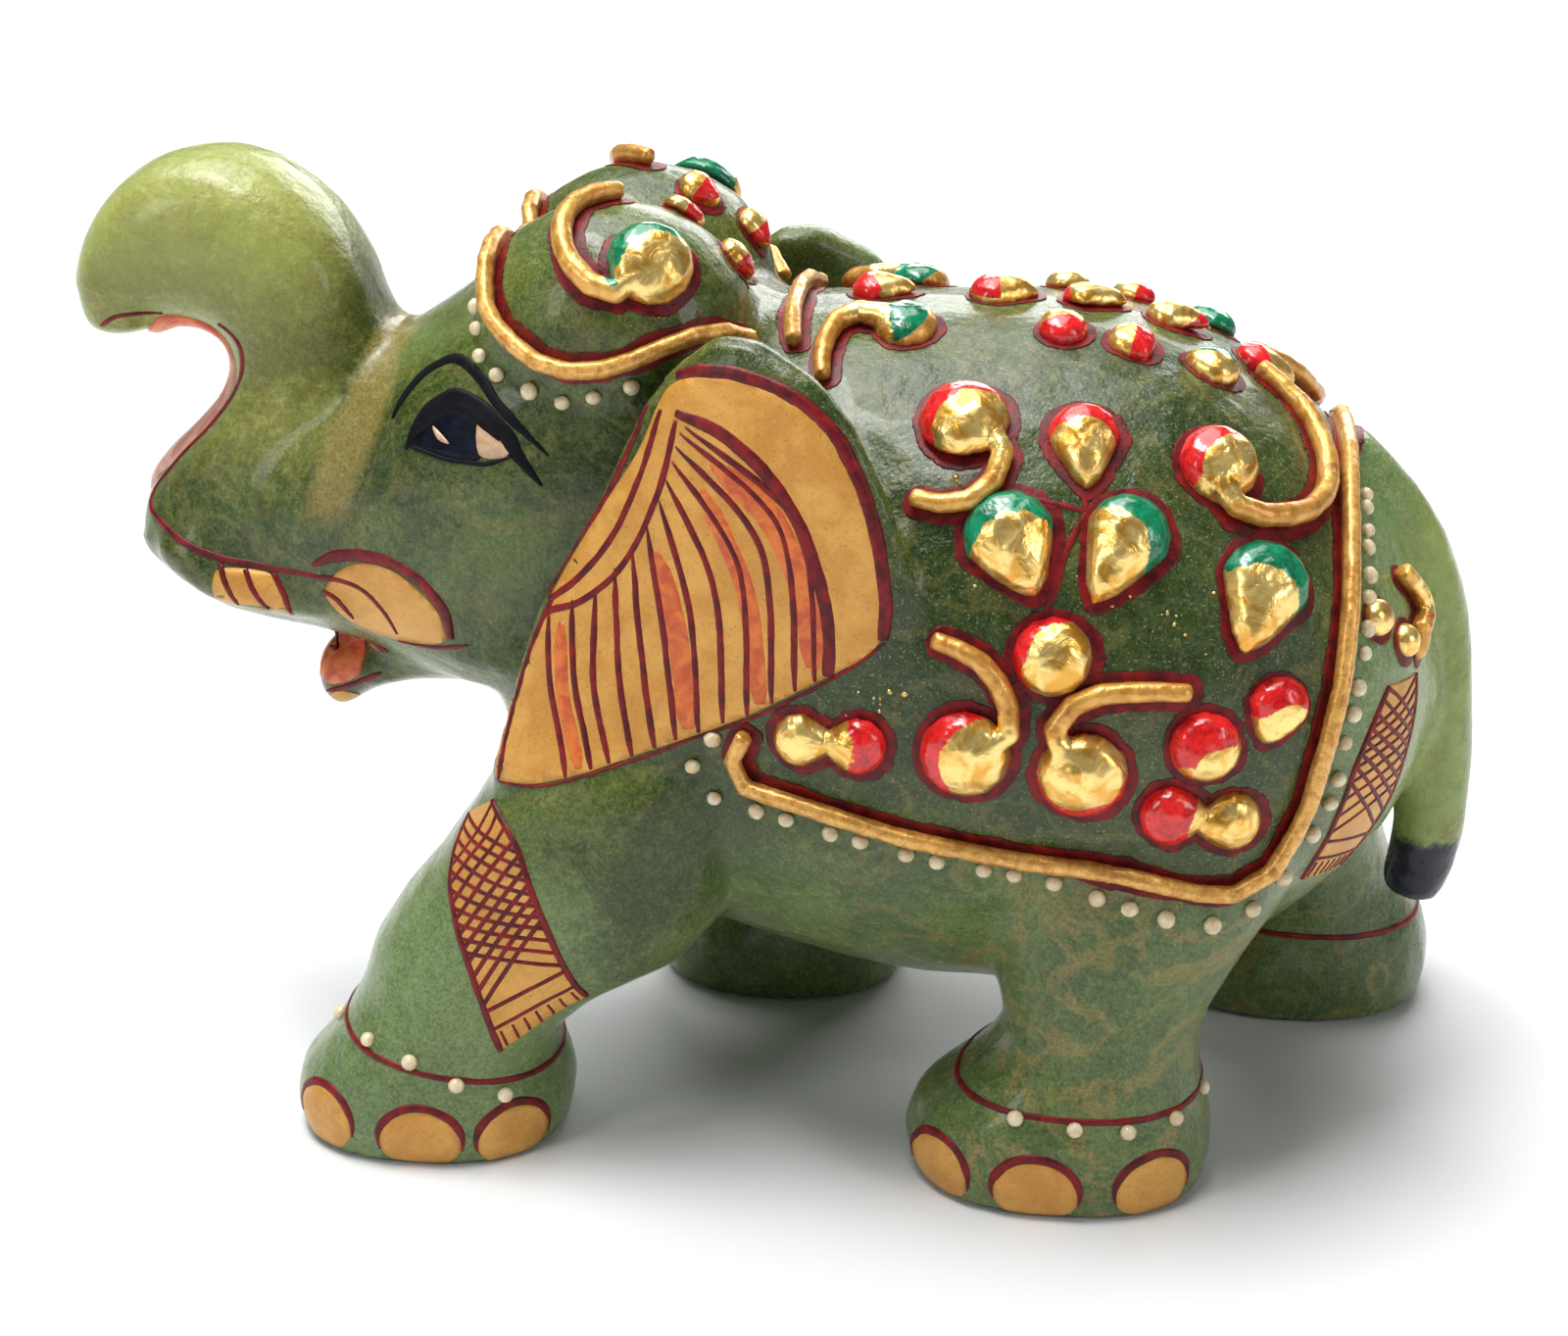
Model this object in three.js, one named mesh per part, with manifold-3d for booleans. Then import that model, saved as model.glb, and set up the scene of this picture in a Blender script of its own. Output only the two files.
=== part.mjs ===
// A small standing elephant carved from one block of green stone, with raised, gilded ornament on it.
// Millimetres, +Z up. The animal faces -X, so its left side is -Y. The soles stand on Z = 0.
//
// The animal is one solid. Everything that is laid on it afterwards is a solid of its own: drops of hard
// paste, piped cords and strings of pearl dots. Flat paint has no body and isn't modelled here.
import * as THREE from 'three';
import { LoftGeometry } from 'three/addons/geometries/LoftGeometry.js';
import { mergeVertices } from 'three/addons/utils/BufferGeometryUtils.js';
import Module from 'manifold-3d';

const wasm = await Module();
wasm.setup();

// ---------------------------------------------------------------------------------------------------
// Driving sizes
// ---------------------------------------------------------------------------------------------------

const BACK_HEIGHT = 53.2;      // ground to the top of the back
const BELLY_HEIGHT = 8.4;      // ground to the lowest point of the belly
const BODY_WIDTH = 40.4;       // across the barrel
const STANCE = 12.6;           // middle plane to the middle of each leg
const HIND_SPREAD = 1.2;        // how much wider the hind legs stand
const FOOT_WIDTH = 15.6;       // across one foot
const HEAD_WIDTH = 27;         // across the head at the eyes
const CROWN_HEIGHT = 60.0;     // ground to the top of the two domes of the head
const DOME_SPREAD = 6.0;       // middle plane to the middle of each dome
const TRUNK_WIDTH = 12.6;      // across the raised trunk
const TUSK_SPREAD = 6.6;       // middle plane to the middle of each tusk
const EAR_THICKNESS = 3.0;
const EAR_REACH = 20.6;        // middle plane to the outer face of each ear
const TAIL_WIDTH = 5.0;

// ---------------------------------------------------------------------------------------------------
// Solids
// ---------------------------------------------------------------------------------------------------

function solidOf(geometry) {
  const bare = geometry.index ? geometry.toNonIndexed() : geometry.clone();
  for (const name of Object.keys(bare.attributes)) if (name !== 'position') bare.deleteAttribute(name);
  const merged = mergeVertices(bare, 1e-4);
  const triVerts = new Uint32Array(merged.index.array);
  return new wasm.Manifold(new wasm.Mesh({
    numProp: 3,
    vertProperties: merged.attributes.position.array,
    triVerts,
  }));
}

function geometryOf(solid) {
  const mesh = solid.getMesh();
  const places = new Float32Array(mesh.numVert * 3);
  for (let i = 0; i < mesh.numVert; i++) {
    places.set(mesh.vertProperties.subarray(i * mesh.numProp, i * mesh.numProp + 3), i * 3);
  }
  const geometry = new THREE.BufferGeometry();
  geometry.setAttribute('position', new THREE.BufferAttribute(places, 3));
  geometry.setIndex(new THREE.BufferAttribute(new Uint32Array(mesh.triVerts), 1));
  geometry.computeVertexNormals();
  return geometry;
}

// A closed body through oval stations. A station is [start, finish, half-width]: the two ends of one
// diameter, and half the size across it. `roundStart` and `roundEnd` are how far the ends bulge.
function body(stations, { rings, around, square = 2, roundStart = 0, roundEnd = 0 }) {
  const starts = new THREE.CatmullRomCurve3(stations.map((s) => new THREE.Vector3(...s[0])));
  const finishes = new THREE.CatmullRomCurve3(stations.map((s) => new THREE.Vector3(...s[1])));
  const widths = new THREE.CatmullRomCurve3(stations.map((s) => new THREE.Vector3(s[2], 0, 0)));
  const middle = (t) => starts.getPoint(t).add(finishes.getPoint(t)).multiplyScalar(0.5);
  const ring = (t, shift, shrink) => {
    const along = middle(Math.min(t + 0.01, 1)).sub(middle(Math.max(t - 0.01, 0))).normalize();
    const reach = finishes.getPoint(t).sub(starts.getPoint(t)).multiplyScalar(0.5 * shrink);
    const across = along.clone().cross(reach).normalize()
      .multiplyScalar(widths.getPoint(t).x * shrink);
    const centre = middle(t).addScaledVector(along, shift);
    return Array.from({ length: around }, (_, k) => {
      const c = Math.cos((k / around) * 2 * Math.PI);
      const s = Math.sin((k / around) * 2 * Math.PI);
      return centre.clone()
        .addScaledVector(reach, Math.sign(c) * Math.abs(c) ** (2 / square))
        .addScaledVector(across, Math.sign(s) * Math.abs(s) ** (2 / square));
    });
  };
  const caps = [0.38, 0.70, 0.92];
  const sections = [];
  if (roundStart) caps.toReversed().forEach((u) => sections.push(ring(0, -u * roundStart, Math.sqrt(1 - u * u))));
  for (let i = 0; i <= rings; i++) sections.push(ring(i / rings, 0, 1));
  if (roundEnd) caps.forEach((u) => sections.push(ring(1, u * roundEnd, Math.sqrt(1 - u * u))));
  return solidOf(new LoftGeometry(sections, { capStart: true, capEnd: true }));
}

// Stations of the usual kinds: an upright slice of the body, a level slice of a limb, and a slice
// between any two points of the side outline.
const upright = (x, low, high, half) => [[x, 0, low], [x, 0, high], half];
const level = (z, y, front, back, half) => [[front, y, z], [back, y, z], half];
const slice = (y, xa, za, xb, zb, half) => [[xa, y, za], [xb, y, zb], half];

function ellipsoid([x, y, z], [a, b, c], around) {
  const geometry = new THREE.SphereGeometry(1, around, Math.round(around * 0.6));
  geometry.scale(a, b, c);
  geometry.translate(x, y, z);
  return solidOf(geometry);
}

// ---------------------------------------------------------------------------------------------------
// The carved animal
// ---------------------------------------------------------------------------------------------------

function torso() {
  const top = BACK_HEIGHT;
  const low = BELLY_HEIGHT;
  const half = BODY_WIDTH / 2;
  return body([
    upright(-16.5, low + 13, top - 13, half * 0.42),
    upright(-12, low + 8, top - 6.5, half * 0.64),
    upright(-6, low + 4, top - 2, half * 0.84),
    upright(2, low + 1.4, top - 0.3, half * 0.95),
    upright(10, low, top, half),
    upright(18, low, top - 0.1, half),
    upright(25, low + 1.4, top - 1.5, half * 0.98),
    upright(31, low + 4, top - 4.6, half * 0.90),
    upright(36, low + 8, top - 9.2, half * 0.74),
    upright(39.5, low + 12, top - 14.4, half * 0.54),
    upright(41.6, low + 17, top - 20.0, half * 0.28),
  ], { rings: 17, around: 28, square: 2.1, roundStart: 2, roundEnd: 0.8 });
}

function head() {
  const half = HEAD_WIDTH / 2;
  const skull = body([
    upright(5, 32, 51.0, half * 0.85),
    upright(-3, 28.5, 54.0, half * 0.97),
    upright(-10, 26.8, 56.4, half),
    upright(-16, 26.2, 55.8, half * 0.97),
    upright(-20, 26.6, 53.2, half * 0.90),
    upright(-24, 28.0, 50.4, half * 0.79),
    upright(-28, 29.6, 47.8, half * 0.69),
    upright(-33, 30.2, 45.2, half * 0.61),
    upright(-37.6, 31.4, 42.8, half * 0.54),
    upright(-41.0, 34.4, 40.2, half * 0.44),
  ], { rings: 14, around: 22, square: 2.3, roundStart: 2, roundEnd: 1.2 });
  const domes = [-1, 1].map((side) =>
    ellipsoid([-9.8, side * DOME_SPREAD, CROWN_HEIGHT - 7.8], [8.8, 7.2, 7.8], 16));
  const jaw = body([
    slice(0, -19, 26.2, -19, 34, 6.0),
    slice(0, -24, 26.4, -23, 31, 5.2),
    slice(0, -27.4, 25.4, -27.4, 29.4, 4.2),
    slice(0, -29.6, 23.8, -30.6, 28.6, 3.2),
  ], { rings: 6, around: 14, roundEnd: 1.4 });
  return [skull, ...domes, jaw];
}

function trunk() {
  const half = TRUNK_WIDTH / 2;
  return body([
    slice(0, -42.2, 36.4, -24.0, 41.5, half * 1.16),
    slice(0, -41.7, 39.7, -24.0, 46.4, half * 1.10),
    slice(0, -39.0, 42.4, -24.8, 49.4, half * 1.05),
    slice(0, -36.2, 45.3, -25.7, 51.6, half),
    slice(0, -35.0, 48.0, -26.7, 54.4, half * 0.98),
    slice(0, -36.3, 49.9, -28.7, 57.8, half * 0.96),
    slice(0, -38.0, 50.4, -32.3, 60.6, half * 0.94),
    slice(0, -39.2, 50.5, -36.6, 61.5, half * 0.91),
    slice(0, -40.0, 50.5, -41.0, 60.2, half * 0.87),
    slice(0, -40.4, 50.4, -44.2, 57.0, half * 0.81),
    slice(0, -40.3, 50.1, -45.6, 52.9, half * 0.75),
    slice(0, -39.9, 49.8, -45.1, 49.4, half * 0.72),
  ], { rings: 20, around: 16, square: 2.7 });
}

function tusk(side) {
  const y = side * TUSK_SPREAD;
  return body([
    slice(y, -26, 32.2, -26, 36.2, 2.2),
    slice(y, -31, 32.4, -31, 36.2, 2.3),
    slice(y, -36.2, 33.2, -35.6, 36.9, 2.2),
    slice(y * 0.94, -39.4, 35.2, -38.4, 38.2, 1.7),
  ], { rings: 7, around: 12, roundEnd: 1.0 });
}

function ear(side) {
  const outer = side * (EAR_REACH - EAR_THICKNESS / 2);
  const slices = [
    [53.3, -2.6, 4.6, 1.6, 3.0],
    [51.8, -4.9, 4.6, 4.6, 1.8],
    [49.0, -6.9, 4.4, 7.0, 0.9],
    [45.0, -8.9, 4.2, 8.8, 0.3],
    [41.0, -10.9, 4.2, 10.1, 0.0],
    [38.0, -12.6, 4.2, 10.3, 0.0],
    [35.4, -13.8, 4.2, 8.6, 0.2],
    [33.0, -14.6, 4.0, 5.0, 0.6],
    [30.0, -15.4, 3.8, -1.0, 1.2],
    [27.6, -16.0, 3.6, -6.6, 1.8],
    [25.8, -16.3, 3.6, -11.6, 2.4],
  ];
  return body(slices.map(([z, front, frontIn, back, backIn]) => [
    [front, outer - side * frontIn, z], [back, outer - side * backIn, z], EAR_THICKNESS / 2,
  ]), { rings: 11, around: 16, square: 2.6, roundStart: 0.7, roundEnd: 0.8 });
}

// The legs are in mid-stride. Each station is [height, front, back, share of the foot's width, how far
// the leg has leaned in under the body].
function leg(side, stance, stations) {
  const half = FOOT_WIDTH / 2;
  return body(stations.map(([z, front, back, share, lean]) =>
    level(z, side * (stance - lean), front, back, half * share)),
  { rings: 11, around: 18, square: 2.3, roundEnd: 3 });
}

const LEFT_FRONT_FOOT = -21.4;
const RIGHT_FRONT_FOOT = -1.4;
const LEFT_HIND_FOOT = 19.4;
const RIGHT_HIND_FOOT = 35.2;

const frontLeg = (side, foot) => leg(side, STANCE, [
  [0, foot - 8.9, foot + 8.7, 0.97, 0],
  [3.4, foot - 9.3, foot + 9.2, 1.0, 0],
  [6.4, foot - 7.0, foot + 7.9, 0.95, 0],
  [9.6, foot - 4.6, foot + 10.6, 0.92, 0.1],
  [14, foot * 0.92 - 4.9, foot * 0.6 + 9.6, 0.95, 0.3],
  [19, foot * 0.82 - 3.2, foot * 0.4 + 7.6, 1.0, 0.5],
  [26, foot * 0.60 - 3.2, foot * 0.3 + 6.6, 1.0, 1.2],
  [35, foot * 0.35 - 3.4, foot * 0.1 + 4.5, 0.90, 4.2],
]);

const hindLeg = (side, foot) => leg(side, STANCE + HIND_SPREAD, [
  [0, foot - 9.2, foot + 9.4, 1.0, 0],
  [3.4, foot - 9.9, foot + 9.9, 1.04, 0],
  [6.8, foot - 6.6, foot + 9.0, 0.96, 0.2],
  [9.6, foot * 0.8 + 0.2, foot * 0.9 + 10.6, 0.92, 0.5],
  [13, foot * 0.7 + 1.6, foot * 0.75 + 14.6, 0.93, 0.9],
  [18, foot * 0.5 + 4.6, foot * 0.5 + 22.6, 0.98, 1.6],
  [26, foot * 0.3 + 9.0, foot * 0.25 + 31, 0.98, 3.0],
  [36, foot * 0.2 + 13.0, foot * 0.1 + 33, 0.86, 6.6],
]);

function tail() {
  const half = TAIL_WIDTH / 2;
  return body([
    slice(0, 33.8, 44.0, 36.4, 45.6, half),
    slice(0, 36, 41.6, 39.4, 42.6, half),
    slice(0, 38.4, 38.0, 42.2, 38.6, half),
    slice(0, 39.6, 33.0, 44.2, 33.2, half),
    slice(0, 40.2, 28.0, 44.8, 28.0, half),
    slice(0, 40.4, 22.0, 45.0, 21.8, half),
    slice(0, 40.2, 17.4, 44.8, 16.9, half),
    slice(0, 39.8, 14.6, 43.8, 13.6, half * 0.8),
  ], { rings: 11, around: 12, square: 2.4, roundEnd: 0.8 });
}

const animal = [
  torso(), ...head(), trunk(), tusk(-1), tusk(1), ear(-1), ear(1),
  frontLeg(-1, LEFT_FRONT_FOOT), frontLeg(1, RIGHT_FRONT_FOOT),
  hindLeg(-1, LEFT_HIND_FOOT), hindLeg(1, RIGHT_HIND_FOOT), tail(),
].reduce((whole, piece) => whole.add(piece)).trimByPlane([0, 0, 1], 0);

const elephant = new THREE.Group();

function addPiece(name, solid, [color, roughness, metalness]) {
  const material = new THREE.MeshStandardMaterial({ color, roughness, metalness });
  const mesh = new THREE.Mesh(geometryOf(solid), material);
  mesh.name = name;
  elephant.add(mesh);
  return mesh;
}

const STONE = [0x6f8452, 0.3, 0];
const GOLD = [0xd3a44e, 0.35, 0.8];
const GILT_PAINT = [0xd98f3c, 0.45, 0.3];
const RED_ENAMEL = [0xc3181c, 0.25, 0];
const GREEN_ENAMEL = [0x067a55, 0.25, 0];
const PEARL = [0xd8c8a4, 0.4, 0];

const carving = addPiece('carved_elephant', animal, STONE);
carving.updateMatrixWorld();

// ---------------------------------------------------------------------------------------------------
// Ornament laid on the stone
//
// A place on the animal is [x, degrees]: how far along the body, and how far round it from the ridge of
// the back. Degrees run to +90 on the left side and to -90 on the right.
// ---------------------------------------------------------------------------------------------------

const BODY_AXIS = 31;          // height of the line the degrees are measured about, on the body
const HEAD_AXIS = 44;          // and on the head
const CLEARANCE = 0.08;        // air left between an ornament and the stone

const raycaster = new THREE.Raycaster();

function touch([x, degrees], axis) {
  const turn = THREE.MathUtils.degToRad(degrees);
  const out = new THREE.Vector3(0, -Math.sin(turn), Math.cos(turn));
  const from = new THREE.Vector3(x, 0, axis).addScaledVector(out, 90);
  raycaster.set(from, out.negate());
  const hit = raycaster.intersectObject(carving)[0];
  return { point: hit.point, normal: hit.face.normal.clone() };
}

// Whatever still dips into the stone is pared off, and the main part kept.
function pared(solid) {
  const parts = solid.subtract(animal).decompose();
  return parts.sort((a, b) => b.volume() - a.volume())[0];
}

// A drop of paste: a low dome with a round end and, where it is longer than its radius, a point.
function drop(place, towards, { radius, length = radius, height = radius * 0.62, axis = BODY_AXIS }) {
  const { point, normal } = touch(place, axis);
  const u = touch(towards, axis).point.sub(point).projectOnPlane(normal).normalize();
  const v = normal.clone().cross(u);
  const sections = [[0, 1], [0.62, 0.82], [1, 0.36]].map(([rise, scale]) =>
    Array.from({ length: 12 }, (_, k) => {
      const turn = (k / 12) * 2 * Math.PI;
      const ahead = Math.max(0, Math.cos(turn));
      const along = radius * Math.cos(turn) + (length - radius) * ahead ** 3;
      const aside = radius * Math.sin(turn) * (1 - 0.3 * ahead * (length > radius ? 1 : 0));
      return point.clone()
        .addScaledVector(normal, CLEARANCE + rise * height)
        .addScaledVector(u, along * scale)
        .addScaledVector(v, aside * scale);
    }));
  return solidOf(new LoftGeometry(sections, { capStart: true, capEnd: true }));
}

// A cord piped along the stone through the given places. `radiusAt(i, count)` gives its radius at each
// of the spots it is made through, and `liftAt` the height of its middle there.
function piping(places, { spacing, axis, sides, radiusAt, liftAt = radiusAt }) {
  const route = new THREE.CatmullRomCurve3(places.map(([x, d]) => new THREE.Vector3(x, d / 3, 0)));
  const count = spacing(route.getLength());
  const spots = count.map((share, i) => {
    const p = route.getPointAt(share);
    const { point, normal } = touch([p.x, p.y * 3], axis);
    return { centre: point.addScaledVector(normal, liftAt(i, count.length) + CLEARANCE), normal };
  });
  const sections = spots.map(({ centre, normal }, i) => {
    const before = spots[Math.max(i - 1, 0)].centre;
    const after = spots[Math.min(i + 1, spots.length - 1)].centre;
    const along = after.clone().sub(before).normalize();
    const up = normal.clone().projectOnPlane(along).normalize();
    const across = along.clone().cross(up);
    return Array.from({ length: sides }, (_, k) => {
      const turn = (k / sides) * 2 * Math.PI;
      return centre.clone()
        .addScaledVector(up, radiusAt(i, count.length) * Math.cos(turn))
        .addScaledVector(across, radiusAt(i, count.length) * Math.sin(turn));
    });
  });
  return solidOf(new LoftGeometry(sections, { capStart: true, capEnd: true }));
}

function cord(places, { radius, step, taper = 0, axis = BODY_AXIS }) {
  return piping(places, {
    axis,
    sides: 6,
    spacing: (length) => {
      const count = Math.max(3, Math.round(length / step));
      return Array.from({ length: count + 1 }, (_, i) => i / count);
    },
    radiusAt: (i, count) => radius * (1 - (taper * i) / (count - 1)),
  });
}

// A string of pearl dots, joined by the line of paint they stand on. Four rings make one dot.
function pearls(places, { radius, gap, axis = BODY_AXIS }) {
  const THREAD = 0.34 * radius;
  return piping(places, {
    axis,
    sides: 5,
    spacing: (length) => {
      const count = Math.round(length / gap);
      const rings = [-0.96, -0.42, 0.42, 0.96].map((u) => (u * radius) / length);
      return Array.from({ length: count * 4 }, (_, i) =>
        (Math.floor(i / 4) + 0.5) / count + rings[i % 4]);
    },
    radiusAt: (i) => (i % 4 === 1 || i % 4 === 2 ? radius : THREAD),
    liftAt: () => radius,
  });
}

const mirrored = (places, side) => places.map(([x, degrees]) => [x, degrees * side]);
const SIDES = [['left', 1], ['right', -1]];

// The saddle cloth: a gilt cord round three sides of it, running over the ridge just before the tail,
// with pearl dots outside it.
const SADDLE_EDGE = [
  [0.2, 91], [-0.7, 100], [4, 103.5], [14, 109], [24, 113.5], [30.6, 116], [32.4, 110],
  [33.8, 92], [34.6, 74], [34.9, 56], [34.9, 36], [34.9, 14],
];
const PEARL_EDGE = [
  [-1.9, 90], [-2.7, 104], [4, 108.3], [14, 113.8], [24, 118.2], [31.2, 121.3], [34.2, 112],
  [35.4, 92], [36.2, 74], [36.5, 56], [36.5, 36], [36.4, 20],
];
const CORD_RADIUS = 0.62;
const saddleCord = cord([...SADDLE_EDGE, ...mirrored(SADDLE_EDGE, -1).reverse()],
  { radius: CORD_RADIUS, step: 2.1 });
addPiece('saddle_cord', pared(saddleCord), GILT_PAINT);
for (const [name, side] of SIDES) {
  const string = pearls(mirrored(PEARL_EDGE, side), { radius: 0.55, gap: 2.3 });
  addPiece(`saddle_pearls_${name}`, pared(string), PEARL);
}

// The flower of drops on each side of the saddle. Every entry is its name, the place of its middle, the
// place it points to, its radius, its length, the run of its tail (none for a plain drop) and its enamel.
const FLOWER = [
  ['scroll_front_top', [8.2, 15], [9.4, 15], 1.9, 1.9, [[6.3, 14], [4.6, 13], [3.5, 20], [3.6, 28]], GREEN_ENAMEL],
  ['scroll_front', [12.3, 36], [10, 36], 2.7, 2.7, [[14.6, 40], [14.2, 47], [12.2, 50.5], [9.6, 49.5]], RED_ENAMEL],
  ['petal_top', [19.3, 38], [19.8, 49], 2.1, 3.4, null, RED_ENAMEL],
  ['petal_front', [15.3, 55], [16.9, 64], 2.7, 3.9, null, GREEN_ENAMEL],
  ['petal_rear', [22.1, 54], [20.3, 65], 2.5, 4.5, null, GREEN_ENAMEL],
  ['scroll_rear', [27.2, 39], [26, 39], 2.4, 2.4,
    [[27.4, 46], [30.2, 47.5], [32.9, 41], [33.5, 26], [31.9, 12], [29.6, 6]], RED_ENAMEL],
  ['bud_rear_top', [26.9, 15], [24, 15], 1.6, 1.9, null, GREEN_ENAMEL],
  ['petal_low_rear', [30.1, 60], [28.7, 73], 2.7, 4.4, null, GREEN_ENAMEL],
  ['bud_middle', [18.1, 74], [17, 74], 2.3, 2.3, null, RED_ENAMEL],
  ['scroll_low_front', [13.2, 91], [12, 91], 2.7, 2.7, [[15.7, 87], [15.4, 80], [13.9, 75], [11.2, 72]], RED_ENAMEL],
  ['scroll_low_rear', [20.1, 94], [19, 94], 2.7, 2.7, [[18.3, 87], [19.6, 81], [22.6, 79], [26.0, 79]], RED_ENAMEL],
  ['bud_low_rear', [27.1, 89], [25, 89], 2.1, 2.1, null, RED_ENAMEL],
  ['bud_edge_rear', [31.2, 82], [30, 92], 1.8, 2.4, null, RED_ENAMEL],
  ['bud_small_front', [17.7, 14], [17.7, 20], 1.5, 1.5, null, RED_ENAMEL],
  ['bud_small_rear', [21.9, 15], [23, 20], 1.5, 1.7, null, RED_ENAMEL],
];
// Two places where a pair of drops has run together.
const TWINS = [
  ['twin_corner_front', [[3.5, 91, 1.7], [6.8, 91, 1.8]], RED_ENAMEL],
  ['twin_corner_rear', [[25.4, 102, 1.9], [28.8, 104, 1.9]], RED_ENAMEL],
];
// The flower is drawn as large as the barrel has room for.
const FLOWER_SCALE = BODY_WIDTH / 40.4;
for (const [name, side] of SIDES) {
  for (const [title, place, towards, radius, length, tailRun, enamel] of FLOWER) {
    let solid = drop(...mirrored([place, towards], side),
      { radius: radius * FLOWER_SCALE, length: length * FLOWER_SCALE });
    if (tailRun) {
      const run = mirrored([place, ...tailRun], side);
      solid = solid.add(cord(run, { radius: 0.7 * FLOWER_SCALE, step: 1.6, taper: 0.35 }));
    }
    addPiece(`${title}_${name}`, pared(solid), enamel);
  }
  for (const [title, pair, enamel] of TWINS) {
    const middle = (pair[0][0] + pair[1][0]) / 2;
    const placed = pair.map(([x, degrees, radius]) =>
      [middle + (x - middle) * FLOWER_SCALE, degrees * side, radius * FLOWER_SCALE]);
    const [first, second] = placed.map(([x, degrees, radius], i) =>
      drop([x, degrees], [placed[1 - i][0], degrees], { radius, length: radius * 1.15 }));
    addPiece(`${title}_${name}`, pared(first.add(second)), enamel);
  }
}

// Long drops in single file along the ridge.
[[5.9, 1.5], [13.4, 1.7], [19.0, 1.5], [24.2, 1.5], [29.8, 1.6]].forEach(([x, radius], i) => {
  const solid = drop([x, 0], [x + 2, 0], { radius, length: 2.6 });
  addPiece(`ridge_drop_${i + 1}`, pared(solid), RED_ENAMEL);
});

// The head cloth: a cord round the two domes, one along the groove between them, a band across the neck,
// a scroll on each dome and two red drops each side of the groove.
const HEAD_EDGE = [[-1.2, 45.5], [-4.4, 52], [-7.8, 59], [-11.3, 61], [-14.2, 56], [-16.2, 46], [-16.6, 34], [-16.4, 18]];
const headCord = cord([...HEAD_EDGE, ...mirrored(HEAD_EDGE, -1).reverse()],
  { radius: CORD_RADIUS, step: 1.9, axis: HEAD_AXIS });
addPiece('head_cord', pared(headCord), GILT_PAINT);
const browCord = cord([[-14.6, 0], [-10, 0], [-5.5, 0], [-2.2, 0]], { radius: 0.6, step: 1.9, axis: HEAD_AXIS });
addPiece('brow_cord', pared(browCord), GILT_PAINT);
const neckBand = cord([[1.6, 46], [1.2, 24], [1.2, 0], [1.2, -24], [1.6, -46]],
  { radius: CORD_RADIUS, step: 1.9, axis: HEAD_AXIS });
addPiece('neck_band', pared(neckBand), GILT_PAINT);
for (const [name, side] of SIDES) {
  const scrollRun = mirrored([[-6.7, 40], [-8.3, 47], [-10.6, 44], [-11.9, 36], [-11.6, 26], [-9.4, 19]], side);
  const scroll = drop([-6.7, 40 * side], [-6.7, 46 * side], { radius: 2.6, axis: HEAD_AXIS })
    .add(cord(scrollRun, { radius: 0.7, step: 1.5, taper: 0.3, axis: HEAD_AXIS }));
  addPiece(`head_scroll_${name}`, pared(scroll), GREEN_ENAMEL);
  [[-6.0, 14, 1.2], [-2.6, 22, 1.2]].forEach(([x, degrees, radius], i) => {
    const bud = drop([x, degrees * side], [x + 2, degrees * side], { radius, length: 1.7, axis: HEAD_AXIS });
    addPiece(`head_bud_${i + 1}_${name}`, pared(bud), RED_ENAMEL);
  });
  const headPearls = mirrored([[-4.6, 57.5], [-8.2, 65], [-11.8, 67], [-15.4, 60.5], [-17.6, 48], [-18.0, 36]], side);
  const string = pearls(headPearls, { radius: 0.55, gap: 2.4, axis: HEAD_AXIS });
  addPiece(`head_pearls_${name}`, pared(string), PEARL);
}

// A small pendant on each side of the rump, hanging behind the saddle cord.
for (const [name, side] of SIDES) {
  const chevron = cord(mirrored([[38.4, 46], [39.6, 50], [39.9, 57], [39.6, 64]], side), { radius: 0.5, step: 1.2 });
  const pendant = [[38.5, 65, 1.0], [39.9, 66, 0.9]].reduce((whole, [x, degrees, radius]) =>
    whole.add(drop([x, degrees * side], [x, (degrees + 8) * side], { radius, length: 1.5 })), chevron);
  addPiece(`rump_pendant_${name}`, pared(pendant), GOLD);
}

const extent = new THREE.Box3().setFromObject(elephant);
elephant.position.x = -(extent.min.x + extent.max.x) / 2;

export default elephant;
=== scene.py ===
import math

import bmesh
import bpy
from mathutils import Matrix, Vector, noise
from mathutils.bvhtree import BVHTree


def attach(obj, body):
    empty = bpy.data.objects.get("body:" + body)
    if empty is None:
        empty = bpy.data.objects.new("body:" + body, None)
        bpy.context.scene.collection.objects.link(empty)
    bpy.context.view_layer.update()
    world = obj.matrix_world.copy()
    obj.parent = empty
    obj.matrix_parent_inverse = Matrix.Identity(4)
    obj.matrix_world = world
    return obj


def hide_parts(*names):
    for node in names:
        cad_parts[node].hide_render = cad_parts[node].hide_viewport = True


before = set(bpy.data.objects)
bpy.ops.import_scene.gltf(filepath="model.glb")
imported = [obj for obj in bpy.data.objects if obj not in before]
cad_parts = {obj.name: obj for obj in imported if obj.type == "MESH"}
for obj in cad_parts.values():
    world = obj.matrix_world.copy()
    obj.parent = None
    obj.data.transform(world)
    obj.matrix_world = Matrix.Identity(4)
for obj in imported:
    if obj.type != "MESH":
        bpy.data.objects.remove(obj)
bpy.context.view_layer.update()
scene = bpy.context.scene
MM = 0.001

# ---------------------------------------------------------------------------------------------------
# The carved animal: one block of translucent green stone, sawn and ground to shape, then polished
# until only soft traces of the wheel are left. Everything else is laid on this surface.
# ---------------------------------------------------------------------------------------------------


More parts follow.
